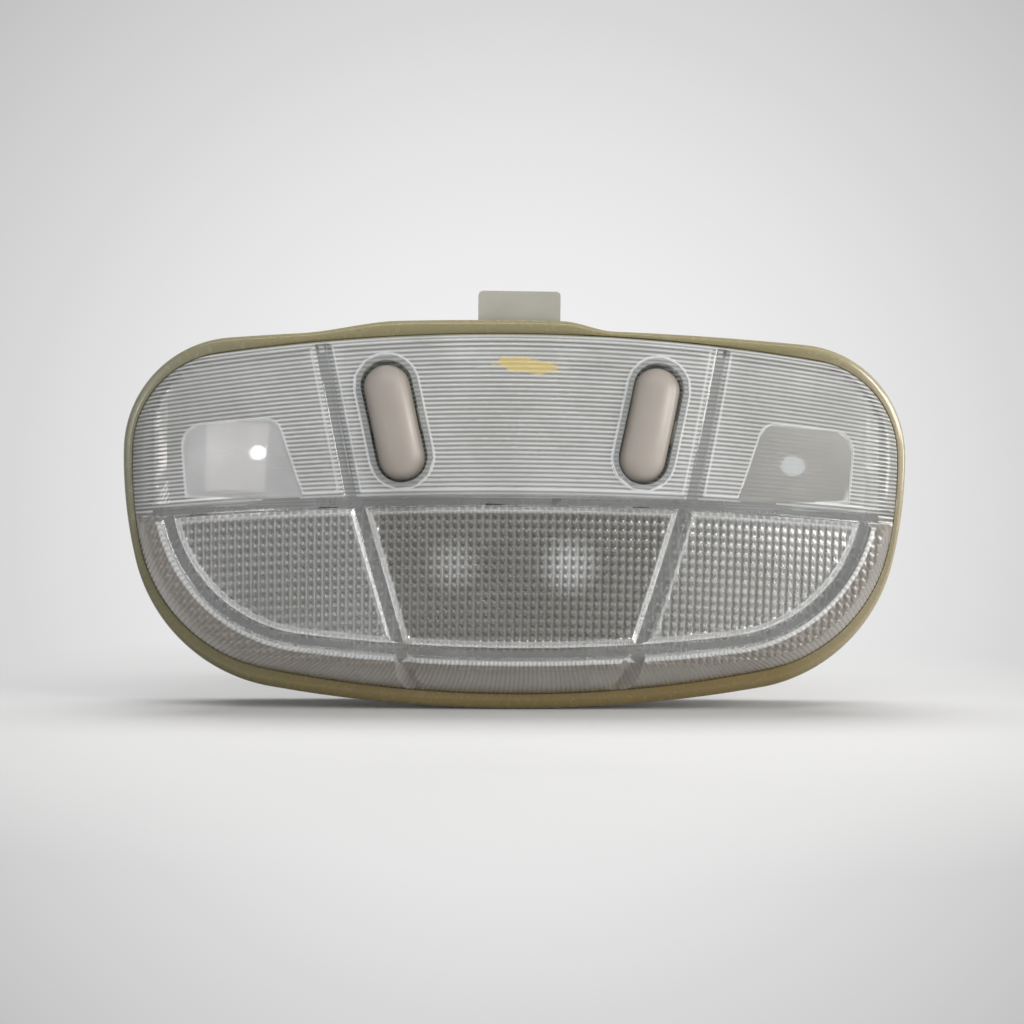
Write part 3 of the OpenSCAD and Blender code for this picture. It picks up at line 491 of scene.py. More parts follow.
def ring(o, inset, counts, sunk=0.0):
    points = []
    for i, (c, r, a, b) in enumerate(arcs(o)):
        for k in range(counts[i]):
            t = a + (b - a) * k / counts[i]
            dip = sunk * (0.5 - 0.5 * math.cos(math.pi * k / 2)) if i > 4 else 0
            points.append((c[0] + (r - inset - dip) * math.cos(t), c[1] + (r - inset - dip) * math.sin(t)))
    return np.array(points)


def crown(x, y):
    return LENS_H - x * x / (2 * CROWN_RX) - (y - CROWN_Y) ** 2 / (2 * CROWN_RY)


def row_y(x, v):
    """The height at x of the row that crosses the middle at v. Rows bend with the channel and the rim."""
    t = np.maximum(0.0, (v - CHANNEL_Y) / (BEZEL[0] - CHANNEL_Y))
    return v - x * x / 2 * ((1 - t) / CHANNEL_R + t / FOOT[4])


# Closed solids in millimetres, joined and cut by booleans
def solid(name, points, faces):
    mesh = bpy.data.meshes.new(name)
    mesh.from_pydata([tuple(map(float, p)) for p in points], [], faces)
    bm = bmesh.new()
    bm.from_mesh(mesh)
    bmesh.ops.recalc_face_normals(bm, faces=bm.faces)
    bm.to_mesh(mesh)
    bm.free()
    obj = bpy.data.objects.new(name, mesh)
    scene.collection.objects.link(obj)
    return obj


def drop(obj):
    mesh = obj.data
    bpy.data.objects.remove(obj)
    bpy.data.meshes.remove(mesh)


def settle(obj):
    """Makes the result of the modifiers the object's own mesh."""
    graph = bpy.context.evaluated_depsgraph_get()
    made = bpy.data.meshes.new_from_object(obj.evaluated_get(graph))
    obj.modifiers.clear()
    old = obj.data
    obj.data = made
    bpy.data.meshes.remove(old)


def boolean(target, tool, operation):
    mod = target.modifiers.new("cut", "BOOLEAN")
    mod.operation = operation
    mod.solver = "MANIFOLD"
    mod.object = tool
    settle(target)
    drop(tool)


def loft(name, rings):
    n, count = len(rings[0]), len(rings)
    points = np.concatenate(rings)
    faces = [(i * n + k, i * n + (k + 1) % n, (i + 1) * n + (k + 1) % n, (i + 1) * n + k)
             for i in range(count - 1) for k in range(n)]
    faces += [tuple(range(n - 1, -1, -1)), tuple((count - 1) * n + k for k in range(n))]
    return solid(name, points, faces)


def band(name, rings):
    """A closed tube: every ring is joined to the next and the last one to the first."""
    n, count = len(rings[0]), len(rings)
    faces = [(i * n + k, i * n + (k + 1) % n, (i + 1) % count * n + (k + 1) % n, (i + 1) % count * n + k)
             for i in range(count) for k in range(n)]
    return solid(name, np.concatenate(rings), faces)


def turned(name, profile, place=None, hollow=False, n=48):
    """A solid of revolution round z from pairs of radius and height, moved to its place."""
    place = place or Matrix.Identity(4)
    rings = []
    for r, z in profile:
        around = [place @ Vector((r * math.cos(2 * math.pi * k / n), r * math.sin(2 * math.pi * k / n), z))
                  for k in range(n)]
        rings.append(np.array([tuple(p) for p in around]))
    return band(name, rings) if hollow else loft(name, rings)


def wire(name, path, radius, n=8):
    """A round wire along a path."""
    path = [Vector(p) for p in path]
    turns = [2 * math.pi * k / n for k in range(n)]
    rings = []
    for i, p in enumerate(path):
        along = (path[min(i + 1, len(path) - 1)] - path[max(i - 1, 0)]).normalized()
        side = along.cross(Vector((0.31, 0.42, 0.85))).normalized()
        over = along.cross(side)
        rings.append(np.array([tuple(p + radius * (side * math.cos(t) + over * math.sin(t))) for t in turns]))
    return loft(name, rings)


def box(name, low, high, place=None):
    outline = [(low[0], low[1]), (high[0], low[1]), (high[0], high[1]), (low[0], high[1])]
    return prism(name, outline, low[2], high[2], place)


def under_sheet(name, grid, base=0.0):
    """A solid from a grid of points down to a flat base."""
    nr, nc = len(grid), len(grid[0])
    top = [p for row in grid for p in row]
    faces = [(i * nc + j, i * nc + j + 1, (i + 1) * nc + j + 1, (i + 1) * nc + j)
             for i in range(nr - 1) for j in range(nc - 1)]
    rim = list(range(nc)) + [i * nc + nc - 1 for i in range(1, nr)]
    rim += [(nr - 1) * nc + j for j in range(nc - 2, -1, -1)] + [i * nc for i in range(nr - 2, 0, -1)]
    low = len(top)
    points = top + [(top[k][0], top[k][1], base) for k in rim]
    m = len(rim)
    faces += [(rim[k], low + k, low + (k + 1) % m, rim[(k + 1) % m]) for k in range(m)]
    faces.append(tuple(low + k for k in range(m)))
    return solid(name, points, faces)


def smooth_sheet(name, depth, base=0.0, step=4.0):
    half, low, high = FOOT[2] + 1, -FOOT[1] - 1, FOOT[0] + 1
    xs = np.linspace(-half, half, round(2 * half / step))
    ys = np.linspace(low, high, round((high - low) / step))
    return under_sheet(name, [[(x, y, crown(x, y) - depth) for x in xs] for y in ys], base)


def flank(name, inset, z0, counts, sunk):
    """The space inside the lens's flank, which bulges a little between the foot and the edge of the face."""
    foot, face = ring(FOOT, inset, counts, sunk), ring(FACE, inset, counts, sunk)
    edge = np.array([(x, y, crown(x, y)) for x, y in face])
    base = np.column_stack([foot, np.full(len(foot), FOOT_Z)])
    run = edge - base
    across = np.linalg.norm(run[:, :2], axis=1)
    out = -run[:, :2] / across[:, None] * run[:, 2:3]
    normal = np.column_stack([out, across])
    length = np.linalg.norm(normal, axis=1)
    swell = np.minimum(0.09 * length, 0.25 * across) / length
    rings = [np.column_stack([foot, np.full(len(foot), z0)])]
    for t in (0.0, 0.12, 0.26, 0.42, 0.58, 0.74, 0.88, 1.0):
        rings.append(base + run * t + normal * (swell * 4 * t * (1 - t))[:, None])
    above = edge + (run - 4 * normal * swell[:, None]) * 0.6
    rings += [above, np.column_stack([above[:, :2], np.full(len(foot), HIGH)])]
    return loft(name, rings)


def prism(name, outline, z0, z1, place=None):
    low = [(x, y, z0) for x, y in outline]
    high = [(x, y, z1) for x, y in outline]
    if place is not None:
        low = [tuple(place @ Vector(p)) for p in low]
        high = [tuple(place @ Vector(p)) for p in high]
    return loft(name, [np.array(low), np.array(high)])


def groove(name, path):
    """A channel's tool: a rounded trapezium swept along a path of (x, y, floor height)."""
    a, slope = CHANNEL_FLOOR / 2, (CHANNEL_MOUTH - CHANNEL_FLOOR) / 2 / CHANNEL_DEPTH
    reach = CHANNEL_DEPTH + 1.6
    half = [(a + slope * reach, reach), (a + slope * 0.25, 0.25), (a - 0.15, 0.06), (a - 0.6, 0.0)]
    section = [(-u, v) for u, v in half] + half[::-1]
    path = np.array(path, float)
    rings = []
    for i, p in enumerate(path):
        before = path[i] - path[i - 1] if i else path[1] - path[0]
        after = path[i + 1] - path[i] if i < len(path) - 1 else before
        before, after = before[:2] / np.linalg.norm(before[:2]), after[:2] / np.linalg.norm(after[:2])
        along = (before + after) / np.linalg.norm(before + after)
        side = np.array([along[1], -along[0]]) / max(0.7, float(along @ after))
        rings.append(np.array([(p[0] + side[0] * u, p[1] + side[1] * u, p[2] + v) for u, v in section]))
    return loft(name, rings)


def on_face(x, y):
    return (x, y, crown(x, y) - CHANNEL_DEPTH)


def capsule(w, l):
    n = 24
    points = []
    for side in (1, -1):
        for k in range(n + 1):
            t = math.pi * k / n + (0 if side > 0 else math.pi)
            points.append((w / 2 * math.cos(t), side * (l - w) / 2 + w / 2 * math.sin(t)))
    return points


def rocker_place(s):
    """The frame of one rocker's face, for s = -1 on the left and 1 on the right."""
    z = crown(ROCKER_X, ROCKER_Y)
    lean = math.radians(ROCKER_LEAN)
    pitch = math.atan((ROCKER_Y - CROWN_Y) / CROWN_RY * math.cos(lean) + ROCKER_X / CROWN_RX * math.sin(lean))
    return (Matrix.Translation((s * ROCKER_X, ROCKER_Y, z)) @ Matrix.Rotation(-s * lean, 4, "Z")
            @ Matrix.Rotation(-pitch, 4, "X"))


def smooth_step(t):
    t = np.clip(t, 0, 1)
    return t * t * (3 - 2 * t)


def nearest(x, y, lines):
    """The distance of each point from the nearest line."""
    found = np.full(x.shape, 1e9)
    for line in lines:
        for a, b in zip(line[:-1], line[1:]):
            run = b - a
            t = np.clip(((x - a[0]) * run[0] + (y - a[1]) * run[1]) / (run @ run), 0, 1)
            found = np.minimum(found, np.hypot(x - a[0] - t * run[0], y - a[1] - t * run[1]))
    return found


def border(x, y, lines, width):
    """0 within width of the lines and 1 further out: the pattern stops short of the channels."""
    return smooth_step((nearest(x, y, lines) - width) / 0.5)


def channel_lines():
    return [np.array(path)[:, :2] for path in channel_paths()]


def waffle_sheet():
    """A smooth pillow on each cell, with a crease round it."""
    nx, ny, sub = 2 * math.ceil(FACE[2] / WAFFLE_W), math.ceil((CHANNEL_Y + FACE[1]) / WAFFLE_H) + 1, 4
    i, j = np.mgrid[0:ny * sub + 1, 0:nx * sub + 1]
    x = WAFFLE_W * (j / sub - nx / 2)
    y = row_y(x, CHANNEL_Y + 0.5 + WAFFLE_H * (i / sub - ny))
    swell = np.sin(np.pi * (i % sub) / sub) * np.sin(np.pi * (j % sub) / sub)
    z = crown(x, y) - WAFFLE_DEPTH * (1 - swell) * border(x, y, channel_lines(), CHANNEL_MOUTH / 2 + 0.3)
    far = FOOT[2] + 1
    grid = []
    for row in np.dstack([x, y, z]):
        first, last = row[0], row[-1]
        grid.append([(-far, first[1], first[2] - 1), *map(tuple, row), (far, last[1], last[2] - 1)])
    low = [(p[0], -FOOT[1] - 1.5, p[2] - 1) for p in grid[0]]
    return under_sheet("waffle", [low] + grid)


def flute_sheet():
    first, sub = CHANNEL_Y - 1, 4
    count = math.ceil((FOOT[0] + 2 - first) / FLUTE_PITCH)
    half, columns = FOOT[2] + 1, 150
    i, j = np.mgrid[0:count * sub + 1, 0:columns + 1]
    x = half * (2 * j / columns - 1)
    y = row_y(x, first + FLUTE_PITCH * i / sub)
    swell = np.abs(np.sin(np.pi * i / sub))
    z = crown(x, y) - FLUTE_DEPTH * (1 - swell) * border(x, y, channel_lines(), CHANNEL_MOUTH / 2 + 0.3)
    return under_sheet("flutes", [list(map(tuple, row)) for row in np.dstack([x, y, z])])


def rounded(corners, radius):
    """A polygon with its corners rounded, in six steps each."""
    n = 6
    out = []
    for i, b in enumerate(corners):
        a, c = np.array(corners[i - 1]), np.array(corners[(i + 1) % len(corners)])
        b = np.array(b)
        r = radius[i]
        if not r:
            out.append(tuple(b))
            continue
        u, w = (a - b) / np.linalg.norm(a - b), (c - b) / np.linalg.norm(c - b)
        half = math.acos(float(u @ w)) / 2
        p, q = b + u * r / math.tan(half), b + w * r / math.tan(half)
        mid = b + (u + w) / np.linalg.norm(u + w) * r / math.sin(half)
        t0, t1 = heading(p - mid), heading(q - mid)
        turn = (t1 - t0 + math.pi) % (2 * math.pi) - math.pi
        out += [(mid[0] + r * math.cos(t0 + turn * k / n), mid[1] + r * math.sin(t0 + turn * k / n))
                for k in range(n + 1)]
    return out


def window_outline(s):
    slant = (UPPER_CH[0] - UPPER_CH[1]) / (FOOT[0] - CHANNEL_Y)
    low = CHANNEL_Y
    corners = [(WINDOW_X[0], low), (WINDOW_X[0] + slant * (WINDOW_TOP - low) + 3, WINDOW_TOP),
               (WINDOW_X[1] + 1.6, WINDOW_TOP - 2.2), (WINDOW_X[1], low)]
    return [(s * x, y) for x, y in rounded(corners, (0, 4, 5.5, 0))]


def channel_paths():
    reach, far = FACE[2], FOOT[2] + 1.3
    end_y = row_y(reach, CHANNEL_Y)
    middle = [on_face(x, row_y(x, CHANNEL_Y)) for x in np.linspace(-reach, reach, 41)]
    paths = [[(-far, end_y - 0.6, LEDGE_T + 0.5)] + middle + [(far, end_y - 0.6, LEDGE_T + 0.5)]]
    for s in (-1, 1):
        a = np.array((s * UPPER_CH[1], row_y(UPPER_CH[1], CHANNEL_Y)))
        b = np.array((s * UPPER_CH[0], FOOT[0] - 1.5))
        paths.append([on_face(*(a + (b - a) * t)) for t in np.linspace(0, 1, 11)])
        a = np.array((s * LOWER_CH[0], row_y(LOWER_CH[0], CHANNEL_Y)))
        b = np.array((s * (LOWER_CH[1] + 0.2 * (LOWER_CH[0] - LOWER_CH[1])), 0.4 - FACE[1]))
        paths.append([on_face(*(a + (b - a) * t)) for t in np.linspace(0, 1, 11)]
                     + [(s * LOWER_CH[1], -FOOT[1], LEDGE_T + 0.4)])
    counts = steps_for(FACE, 3.0)
    edge = ring(FACE, CHANNEL_MOUTH / 2 + 0.15, counts)
    edge = np.roll(edge, -(sum(counts[:5])), axis=0)
    kept = [on_face(x, y) for x, y in edge if y < row_y(x, CHANNEL_Y) + 1]
    paths.append(kept)
    return paths


def to_frame(obj):
    """From millimetres, face up, to the part's frame in metres."""
    obj.data.transform(Matrix(((1, 0, 0, 0), (0, 0, -1, 0), (0, 1, 0, 0), (0, 0, 0, 1))))
    obj.data.transform(Matrix.Scale(0.001, 4))


def shade(obj, angle):
    obj.data.shade_smooth()
    obj.data.set_sharp_from_angle(angle=math.radians(angle))


def inside(points, outline):
    """Which points lie inside a closed outline."""
    x, y = points[:, 0], points[:, 1]
    hit = np.zeros(len(points), bool)
    for (x0, y0), (x1, y1) in zip(outline, np.roll(outline, -1, axis=0)):
        if y0 != y1:
            hit ^= ((y0 > y) != (y1 > y)) & (x < (x1 - x0) * (y - y0) / (y1 - y0) + x0)
    return hit


def mark_zones(obj):
    """Gives each face of the lens the look of its panel, and each point its place in the pattern."""
    mesh = obj.data
    centre = np.empty(3 * len(mesh.polygons))
    mesh.polygons.foreach_get("center", centre)
    centre = centre.reshape(-1, 3) * 1000
    x, y, z = centre[:, 0], centre[:, 2], -centre[:, 1]
    flat = np.column_stack([x, y])
    depth = crown(x, y) - z
    upper = y > CHANNEL_Y - x * x / 2 / CHANNEL_R
    on_top = inside(flat, ring(FACE, 0.4, steps_for(FACE, 4.0)))
    window = upper & (inside(flat, np.array(window_outline(-1))) | inside(flat, np.array(window_outline(1))))
    look = np.tile(LOOK["flutes"], (len(x), 1))
    slope = (LOWER_CH[0] - LOWER_CH[1]) / (CHANNEL_Y + FOOT[1])
    middle = np.abs(x) < LOWER_CH[1] + slope * (y + FOOT[1])
    window &= depth < 1.5
    zones = {
        "waffle": ~upper & on_top,
        "middle": ~upper & on_top & middle,
        "flank": ~on_top,
        "end": ~on_top & upper,
        "channel": on_top & (depth > 0.75) & (depth < 1.6),
        "left_window_painted_light": window & (x < 0),
        "right_window_painted_shade": window & (x > 0),
        "lip": depth < -0.1,
    }
    for name, where in zones.items():
        look[where] = LOOK[name]
    for k, name in enumerate(TRAITS):
        mesh.attributes.new(name, "FLOAT", "FACE").data.foreach_set("value", look[:, k])
    # Where each point lies in the pattern, counted in flutes and prisms, and in ribs on the lower flank
    co = np.empty(3 * len(mesh.vertices))
    mesh.vertices.foreach_get("co", co)
    co = co.reshape(-1, 3) * 1000
    x, y = co[:, 0], co[:, 2]
    k0, k1 = 1 / CHANNEL_R, 1 / FOOT[4]
    m = (k1 - k0) / (BEZEL[0] - CHANNEL_Y)
    v = (y + x * x / 2 * (k0 - m * CHANNEL_Y)) / (1 - x * x / 2 * m)
    upper = v > CHANNEL_Y
    low_v = y + x * x / 2 * k0
    row = np.where(upper, (v - CHANNEL_Y + 1) / FLUTE_PITCH, (low_v - CHANNEL_Y - 0.5) / WAFFLE_H)
    column = np.where(upper, 0.5, x / WAFFLE_W)
    rim, rib = rib_count(x, y)
    outside = ~inside(np.column_stack([x, y]), ring(FACE, 0.7, steps_for(FACE, 2.0)))
    column = np.where(outside & ~upper, rib, column)
    row = np.where(outside & ~upper, 0.5, row)
    away = nearest(x, y, channel_lines())
    outlines = [window_outline(-1), window_outline(1)]
    for s in (-1, 1):
        oval = capsule(ROCKER_W + 2 * (SIDE_GAP + LIP_W), ROCKER_L + 2 * (END_GAP + LIP_W))
        outlines.append([tuple((rocker_place(s) @ Vector((*p, 0)))[:2]) for p in oval])
    pane = np.where(v > CHANNEL_Y + 3, nearest(x, y, [np.array(o + o[:1]) for o in outlines]), FAR)
    for name, values in (("row", row), ("column", column), ("edge", np.minimum(away, FAR)), ("rim", rim),
                         ("pane", np.minimum(pane, FAR))):
        mesh.attributes.new(name, "FLOAT", "POINT").data.foreach_set("value", values)


def rib_count(x, y):
    """For each point, its distance from the edge of the face, and its count along the ribs of the flank."""
    counts = steps_for(FOOT, OUTLINE_STEP, RIB_PITCH)
    first = sum(counts[:4])
    steps = np.concatenate([np.full(n, 0.25 if i > 4 else 0.0) for i, n in enumerate(counts)])
    steps = np.roll(steps, -first)
    count = np.concatenate([[0.0], np.cumsum(steps)[:-1]]) + 0.5
    result = []
    for outline in (FACE, FOOT):
        points = np.roll(ring(outline, 0, counts), -first, axis=0)
        far = np.hypot(x[:, None] - points[None, :, 0], y[:, None] - points[None, :, 1])
        best = far.argmin(axis=1)
        result.append((far[np.arange(len(x)), best], count[best]))
    (a, p), (b, q) = result
    return np.minimum(a, FAR), (p * b + q * a) / np.maximum(a + b, 1e-6)


def make_lens():
    lens = flank("lens_visual", 0.0, LEDGE_T, steps_for(FOOT, OUTLINE_STEP, RIB_PITCH), RIB_DEPTH)
    pattern = flute_sheet()
    boolean(pattern, waffle_sheet(), "UNION")
    boolean(lens, pattern, "INTERSECT")
    opening_w, opening_l = ROCKER_W + 2 * SIDE_GAP, ROCKER_L + 2 * END_GAP
    for s in (-1, 1):
        lip = prism("lip", capsule(opening_w + 2 * LIP_W, opening_l + 2 * LIP_W), -LENS_T, 6, rocker_place(s))
        boolean(lip, smooth_sheet("lip_sheet", -LIP_H), "INTERSECT")
        boolean(lens, lip, "UNION")
    cavity = flank("cavity", LENS_WALL, -1.0, steps_for(FOOT, 2.5), 0.0)
    boolean(cavity, smooth_sheet("cavity_sheet", LENS_T, base=-2.0, step=3.0), "INTERSECT")
    boolean(lens, cavity, "DIFFERENCE")
    for path in channel_paths():
        boolean(lens, groove("groove", path), "DIFFERENCE")
    for s in (-1, 1):
        window = prism("window", window_outline(s), 0.5, HIGH)
        boolean(window, smooth_sheet("window_sheet", WINDOW_DEPTH, base=-1, step=3.0), "DIFFERENCE")
        boolean(lens, window, "DIFFERENCE")
        boolean(lens, prism("opening", capsule(opening_w, opening_l), -12, 7, rocker_place(s)), "DIFFERENCE")
    for side in (-1, 1):
        r = (FOOT[4] if side > 0 else FOOT[8]) - INNER_INSET
        far = TAB_X + TAB_W / 2
        wall = (FOOT[0] if side > 0 else FOOT[1]) - INNER_INSET - r + math.sqrt(r * r - far * far) - 0.3
        for x in (-TAB_X, TAB_X):
            top = crown(x, side * wall) - LENS_T / 2
            a, b = sorted((side * (wall - TAB_T), side * wall))
            boolean(lens, box("tab", (x - TAB_W / 2, a, TAB_END), (x + TAB_W / 2, b, top)), "UNION")
            a, b = sorted((side * (wall - TAB_T), side * (wall + NUB_OUT)))
            boolean(lens, box("nub", (x - TAB_W / 2, a, TAB_END), (x + TAB_W / 2, b, NUB_TOP)), "UNION")
    to_frame(lens)
    shade(lens, 32)
    # Larger faces decide the shading, so slivers don't show
    lens.modifiers.new("weigh", "WEIGHTED_NORMAL").keep_sharp = True
    settle(lens)
    mark_zones(lens)
    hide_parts("lens")
    dress(lens, "clear_lens", "light")


make_lens()


def close_middle(obj):
    """Takes off the flat end of a loft whose last ring is a line, and joins the two sides of that line."""
    bm = bmesh.new()
    bm.from_mesh(obj.data)
    bm.faces.ensure_lookup_table()
    bmesh.ops.delete(bm, geom=[bm.faces[-1]], context="FACES_ONLY")
    bmesh.ops.remove_doubles(bm, verts=bm.verts, dist=0.002)
    bmesh.ops.dissolve_degenerate(bm, edges=bm.edges, dist=0.002)
    bmesh.ops.recalc_face_normals(bm, faces=bm.faces)
    bm.to_mesh(obj.data)
    bm.free()


def make_rocker(s, name, old, body):
    """A soft pillow on a skirt, with its hub, trunnions and foot."""
    place = rocker_place(s)
    half, straight, n = ROCKER_W / 2, (ROCKER_L - ROCKER_W) / 2, 28

    def loop(r, drop_by, flat=False):
        points = []
        for side in (1, -1):
            for k in range(n + 1):
                t = math.pi * k / n + (0 if side > 0 else math.pi)
                points.append((r * math.cos(t), side * straight + r * math.sin(t)))
            for q in (0.5, 0.0, -0.5):
                points.append((-side * r, side * q * straight))
        dips = [0 if flat else y * y / (2 * PILLOW_R) for _, y in points]
        points = [Vector((x, y, ROCKER_RISE - drop_by - dip)) for (x, y), dip in zip(points, dips)]
        return np.array([tuple(place @ point) for point in points])

    rings = [loop(half, 5.9, True), loop(half, PILLOW_DROP)]
    for t in np.linspace(0.12, 1.0, 16):
        u = math.cos(t * math.pi / 2) ** 0.85 if t < 1 else 0.0
        rings.append(loop(half * u, PILLOW_DROP * (1 - (1 - u ** 2.2) ** (1 / 2.2))))
    rocker = loft(name, rings)
    close_middle(rocker)
    pivot = place @ Vector((0, 0, -PIVOT_DEPTH))
    lean = Matrix.Translation(pivot) @ Matrix.Rotation(-s * math.radians(ROCKER_LEAN), 4, "Z")
    across = lean @ Matrix.Rotation(math.pi / 2, 4, "Y")
    boolean(rocker, box("hub", HUB_LOW, HUB_HIGH, lean), "UNION")
    ends = TRUNNION_L / 2
    tip = TRUNNION_R - 0.3
    pin = [(tip, -ends), (TRUNNION_R, 0.3 - ends), (TRUNNION_R, ends - 0.3), (tip, ends)]
    boolean(rocker, turned("trunnion", pin, across, n=32), "UNION")
    cam = box("cam", (-CAM_W / 2, -CAM_L / 2, -FOOT_R - 1), (CAM_W / 2, CAM_L / 2, -1), lean)
    boolean(cam, turned("cam_round", [(FOOT_R, -CAM_W / 2), (FOOT_R, CAM_W / 2)], across, n=128), "INTERSECT")
    boolean(rocker, cam, "UNION")
    to_frame(rocker)
    shade(rocker, 40)
    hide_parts(old)
    dress(rocker, "grey_plastic", body)


make_rocker(-1, "left_rocker_visual", "left_rocker", "left_switch")
make_rocker(1, "right_rocker_visual", "right_rocker", "right_switch")


def make_bezel():
    """The bead, swept from the bezel's outline to the lens's pocket, with the land on its upper edge."""
    counts = steps_for(BEZEL, 1.5)
    outer, inner = ring(BEZEL, 0, counts), ring(FOOT, -LENS_FIT, counts)
    ledge, flange = ring(FOOT, LEDGE_W, counts), ring(FOOT, FLANGE_EDGE, counts)

    a, b, c, d = LAND_X
    x, y = outer[:, 0], outer[:, 1]
    land = LAND_H * np.minimum(smooth_step((x - a) / (b - a)), smooth_step((d - x) / (d - c)))
    outer[:, 1] += np.where(y > 30, land, 0)
    width = np.linalg.norm(outer - inner, axis=1)
    toward = (inner - outer) / width[:, None]

    def at(depth, height):
        depth = depth * np.minimum(1, width / 3.1)
        points = outer + toward * depth[:, None]
        return np.column_stack([points, np.full(len(points), height)])

    section = [(0.0, 0.0), (0.0, 1.5), (0.06, 1.9), (0.22, 2.25), (0.5, 2.6), (0.85, 2.86), (1.3, 3.04),
               (1.9, 3.15), (2.5, BEZEL_T), (2.95, 3.14)]
    rings = [at(x, z) for x, z in section]
    n = len(outer)
    rings += [np.column_stack([inner, np.full(n, z)]) for z in (2.95, LEDGE_T)]
    rings += [np.column_stack([ledge, np.full(n, z)]) for z in (LEDGE_T, RECESS)]
    rings += [np.column_stack([flange, np.full(n, z)]) for z in (RECESS, 0.0)]
    bezel = band("bezel_visual", rings)
    to_frame(bezel)
    shade(bezel, 35)
    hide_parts("bezel")
    dress(bezel, "olive_plastic", "light")


make_bezel()


def finish_piece(obj, slot_name, old=None):
    to_frame(obj)
    shade(obj, 35)
    if old:
        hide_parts(old)
    dress(obj, slot_name, "light")


def make_bulbs():
    """Hollow glass with a coiled filament, for the two map bulbs and the festoon bulb."""
    for s, side in ((-1, "left"), (1, "right")):
        place = Matrix.Translation((s * MAP_X, MAP_Y, HOLDER_Z))
        r, w = MAP_BULB_R, 0.5
        dome = [(math.cos(t), math.sin(t)) for t in np.linspace(0, math.radians(87), 12)]
        skin = [(r - 0.7, 0.0), (r - 0.2, 0.8), (r, 2.0)] + [(r * c, MAP_BULB_L + r * d) for c, d in dome]
        skin += [(max(0.05, (r - w) * c), MAP_BULB_L + (r - w) * d) for c, d in reversed(dome)]
        skin += [(r - w, 2.6), (1.2, 2.2), (1.0, 0.0)]
        glass = turned(side + "_map_glass", skin, place, hollow=True)
        finish_piece(glass, "bulb_glass", side + "_map_bulb")
        turns = [k * 1.3 for k in range(121)]
        coil = [place @ Vector((2.2 * (k / 60 - 1), 0.35 * math.cos(t), 12.5 + 0.35 * math.sin(t)))
                for k, t in enumerate(turns)]
        filament = wire(side + "_map_filament", coil, 0.09, 6)
        for e in (-1, 1):
            post = [place @ Vector(p) for p in ((e * 1.1, 0, 0.3), (e * 1.4, 0, 7), (e * 2.2, 0, 12.6))]
            boolean(filament, wire("post", post, 0.22, 8), "UNION")
        finish_piece(filament, "spring_steel")
    along = Matrix.Translation((0, *FESTOON)) @ Matrix.Rotation(math.pi / 2, 4, "Y")
    h, r, w = FESTOON_L / 2, FESTOON_R, 0.55
    skin = [(3.0, -h), (3.5, -h), (4.1, 0.9 - h), (4.9, 2.4 - h), (r, 4.6 - h), (r, h - 4.6), (4.9, h - 2.4),
            (4.1, h - 0.9), (3.5, h), (3.0, h)]
    skin += [(3.3, h - 0.9), (4.3, h - 2.6), (r - w, h - 4.8), (r - w, 4.8 - h), (4.3, 2.6 - h),
             (3.3, 0.9 - h)]
    glass = turned("festoon_tube", skin, along, hollow=True)
    finish_piece(glass, "bulb_glass", "festoon_glass")
    coil = [along @ Vector((0.4 * math.cos(k * 1.2), 0.4 * math.sin(k * 1.2), 9.0 * (k / 120 - 1)))
            for k in range(241)]
    coil = [along @ Vector((0, 0, -h))] + coil + [along @ Vector((0, 0, h))]
    finish_piece(wire("festoon_filament", coil, 0.1, 6), "spring_steel")
    tip = [(CAP_R - 0.3, 0.0), (CAP_R, 0.25), (CAP_R, 1.6), (CAP_R - 0.2, 1.8), (CAP_R - 0.2, 2.1),
           (CAP_R, 2.3), (CAP_R, CAP_L - 1.7), (CAP_R - 0.45, CAP_L - 1.35), (1.5, CAP_L - 0.3), (0.9, CAP_L)]
    end = Matrix.Translation((0, 0, h))
    caps = turned("festoon_caps_visual", tip, along @ Matrix.Rotation(math.pi, 4, "X") @ end)
    boolean(caps, turned("festoon_cap", tip, along @ end), "UNION")
    finish_piece(caps, "cap_metal", "festoon_caps")


make_bulbs()

for name, obj in NODES.items():
    if not obj.hide_render:
        obj.data.materials.clear()
        obj.data.materials.append(MATS[SLOT[name]])
        shade(obj, 30)


# Brightness of the backdrop's painted pool of light from its middle outwards, the point that it is measured
# from, and the reach of the plain floor round the light's foot
PAINTED_POOL = ((0.0, 0.896), (0.1, 0.847), (0.27, 0.76), (0.4, 0.693), (0.8, 0.546), (1.0, 0.50))
PAINTED_POOL_FROM = (-0.0418, -0.598, 0.0209)
FLOOR_REACH = (0.14, 0.16)


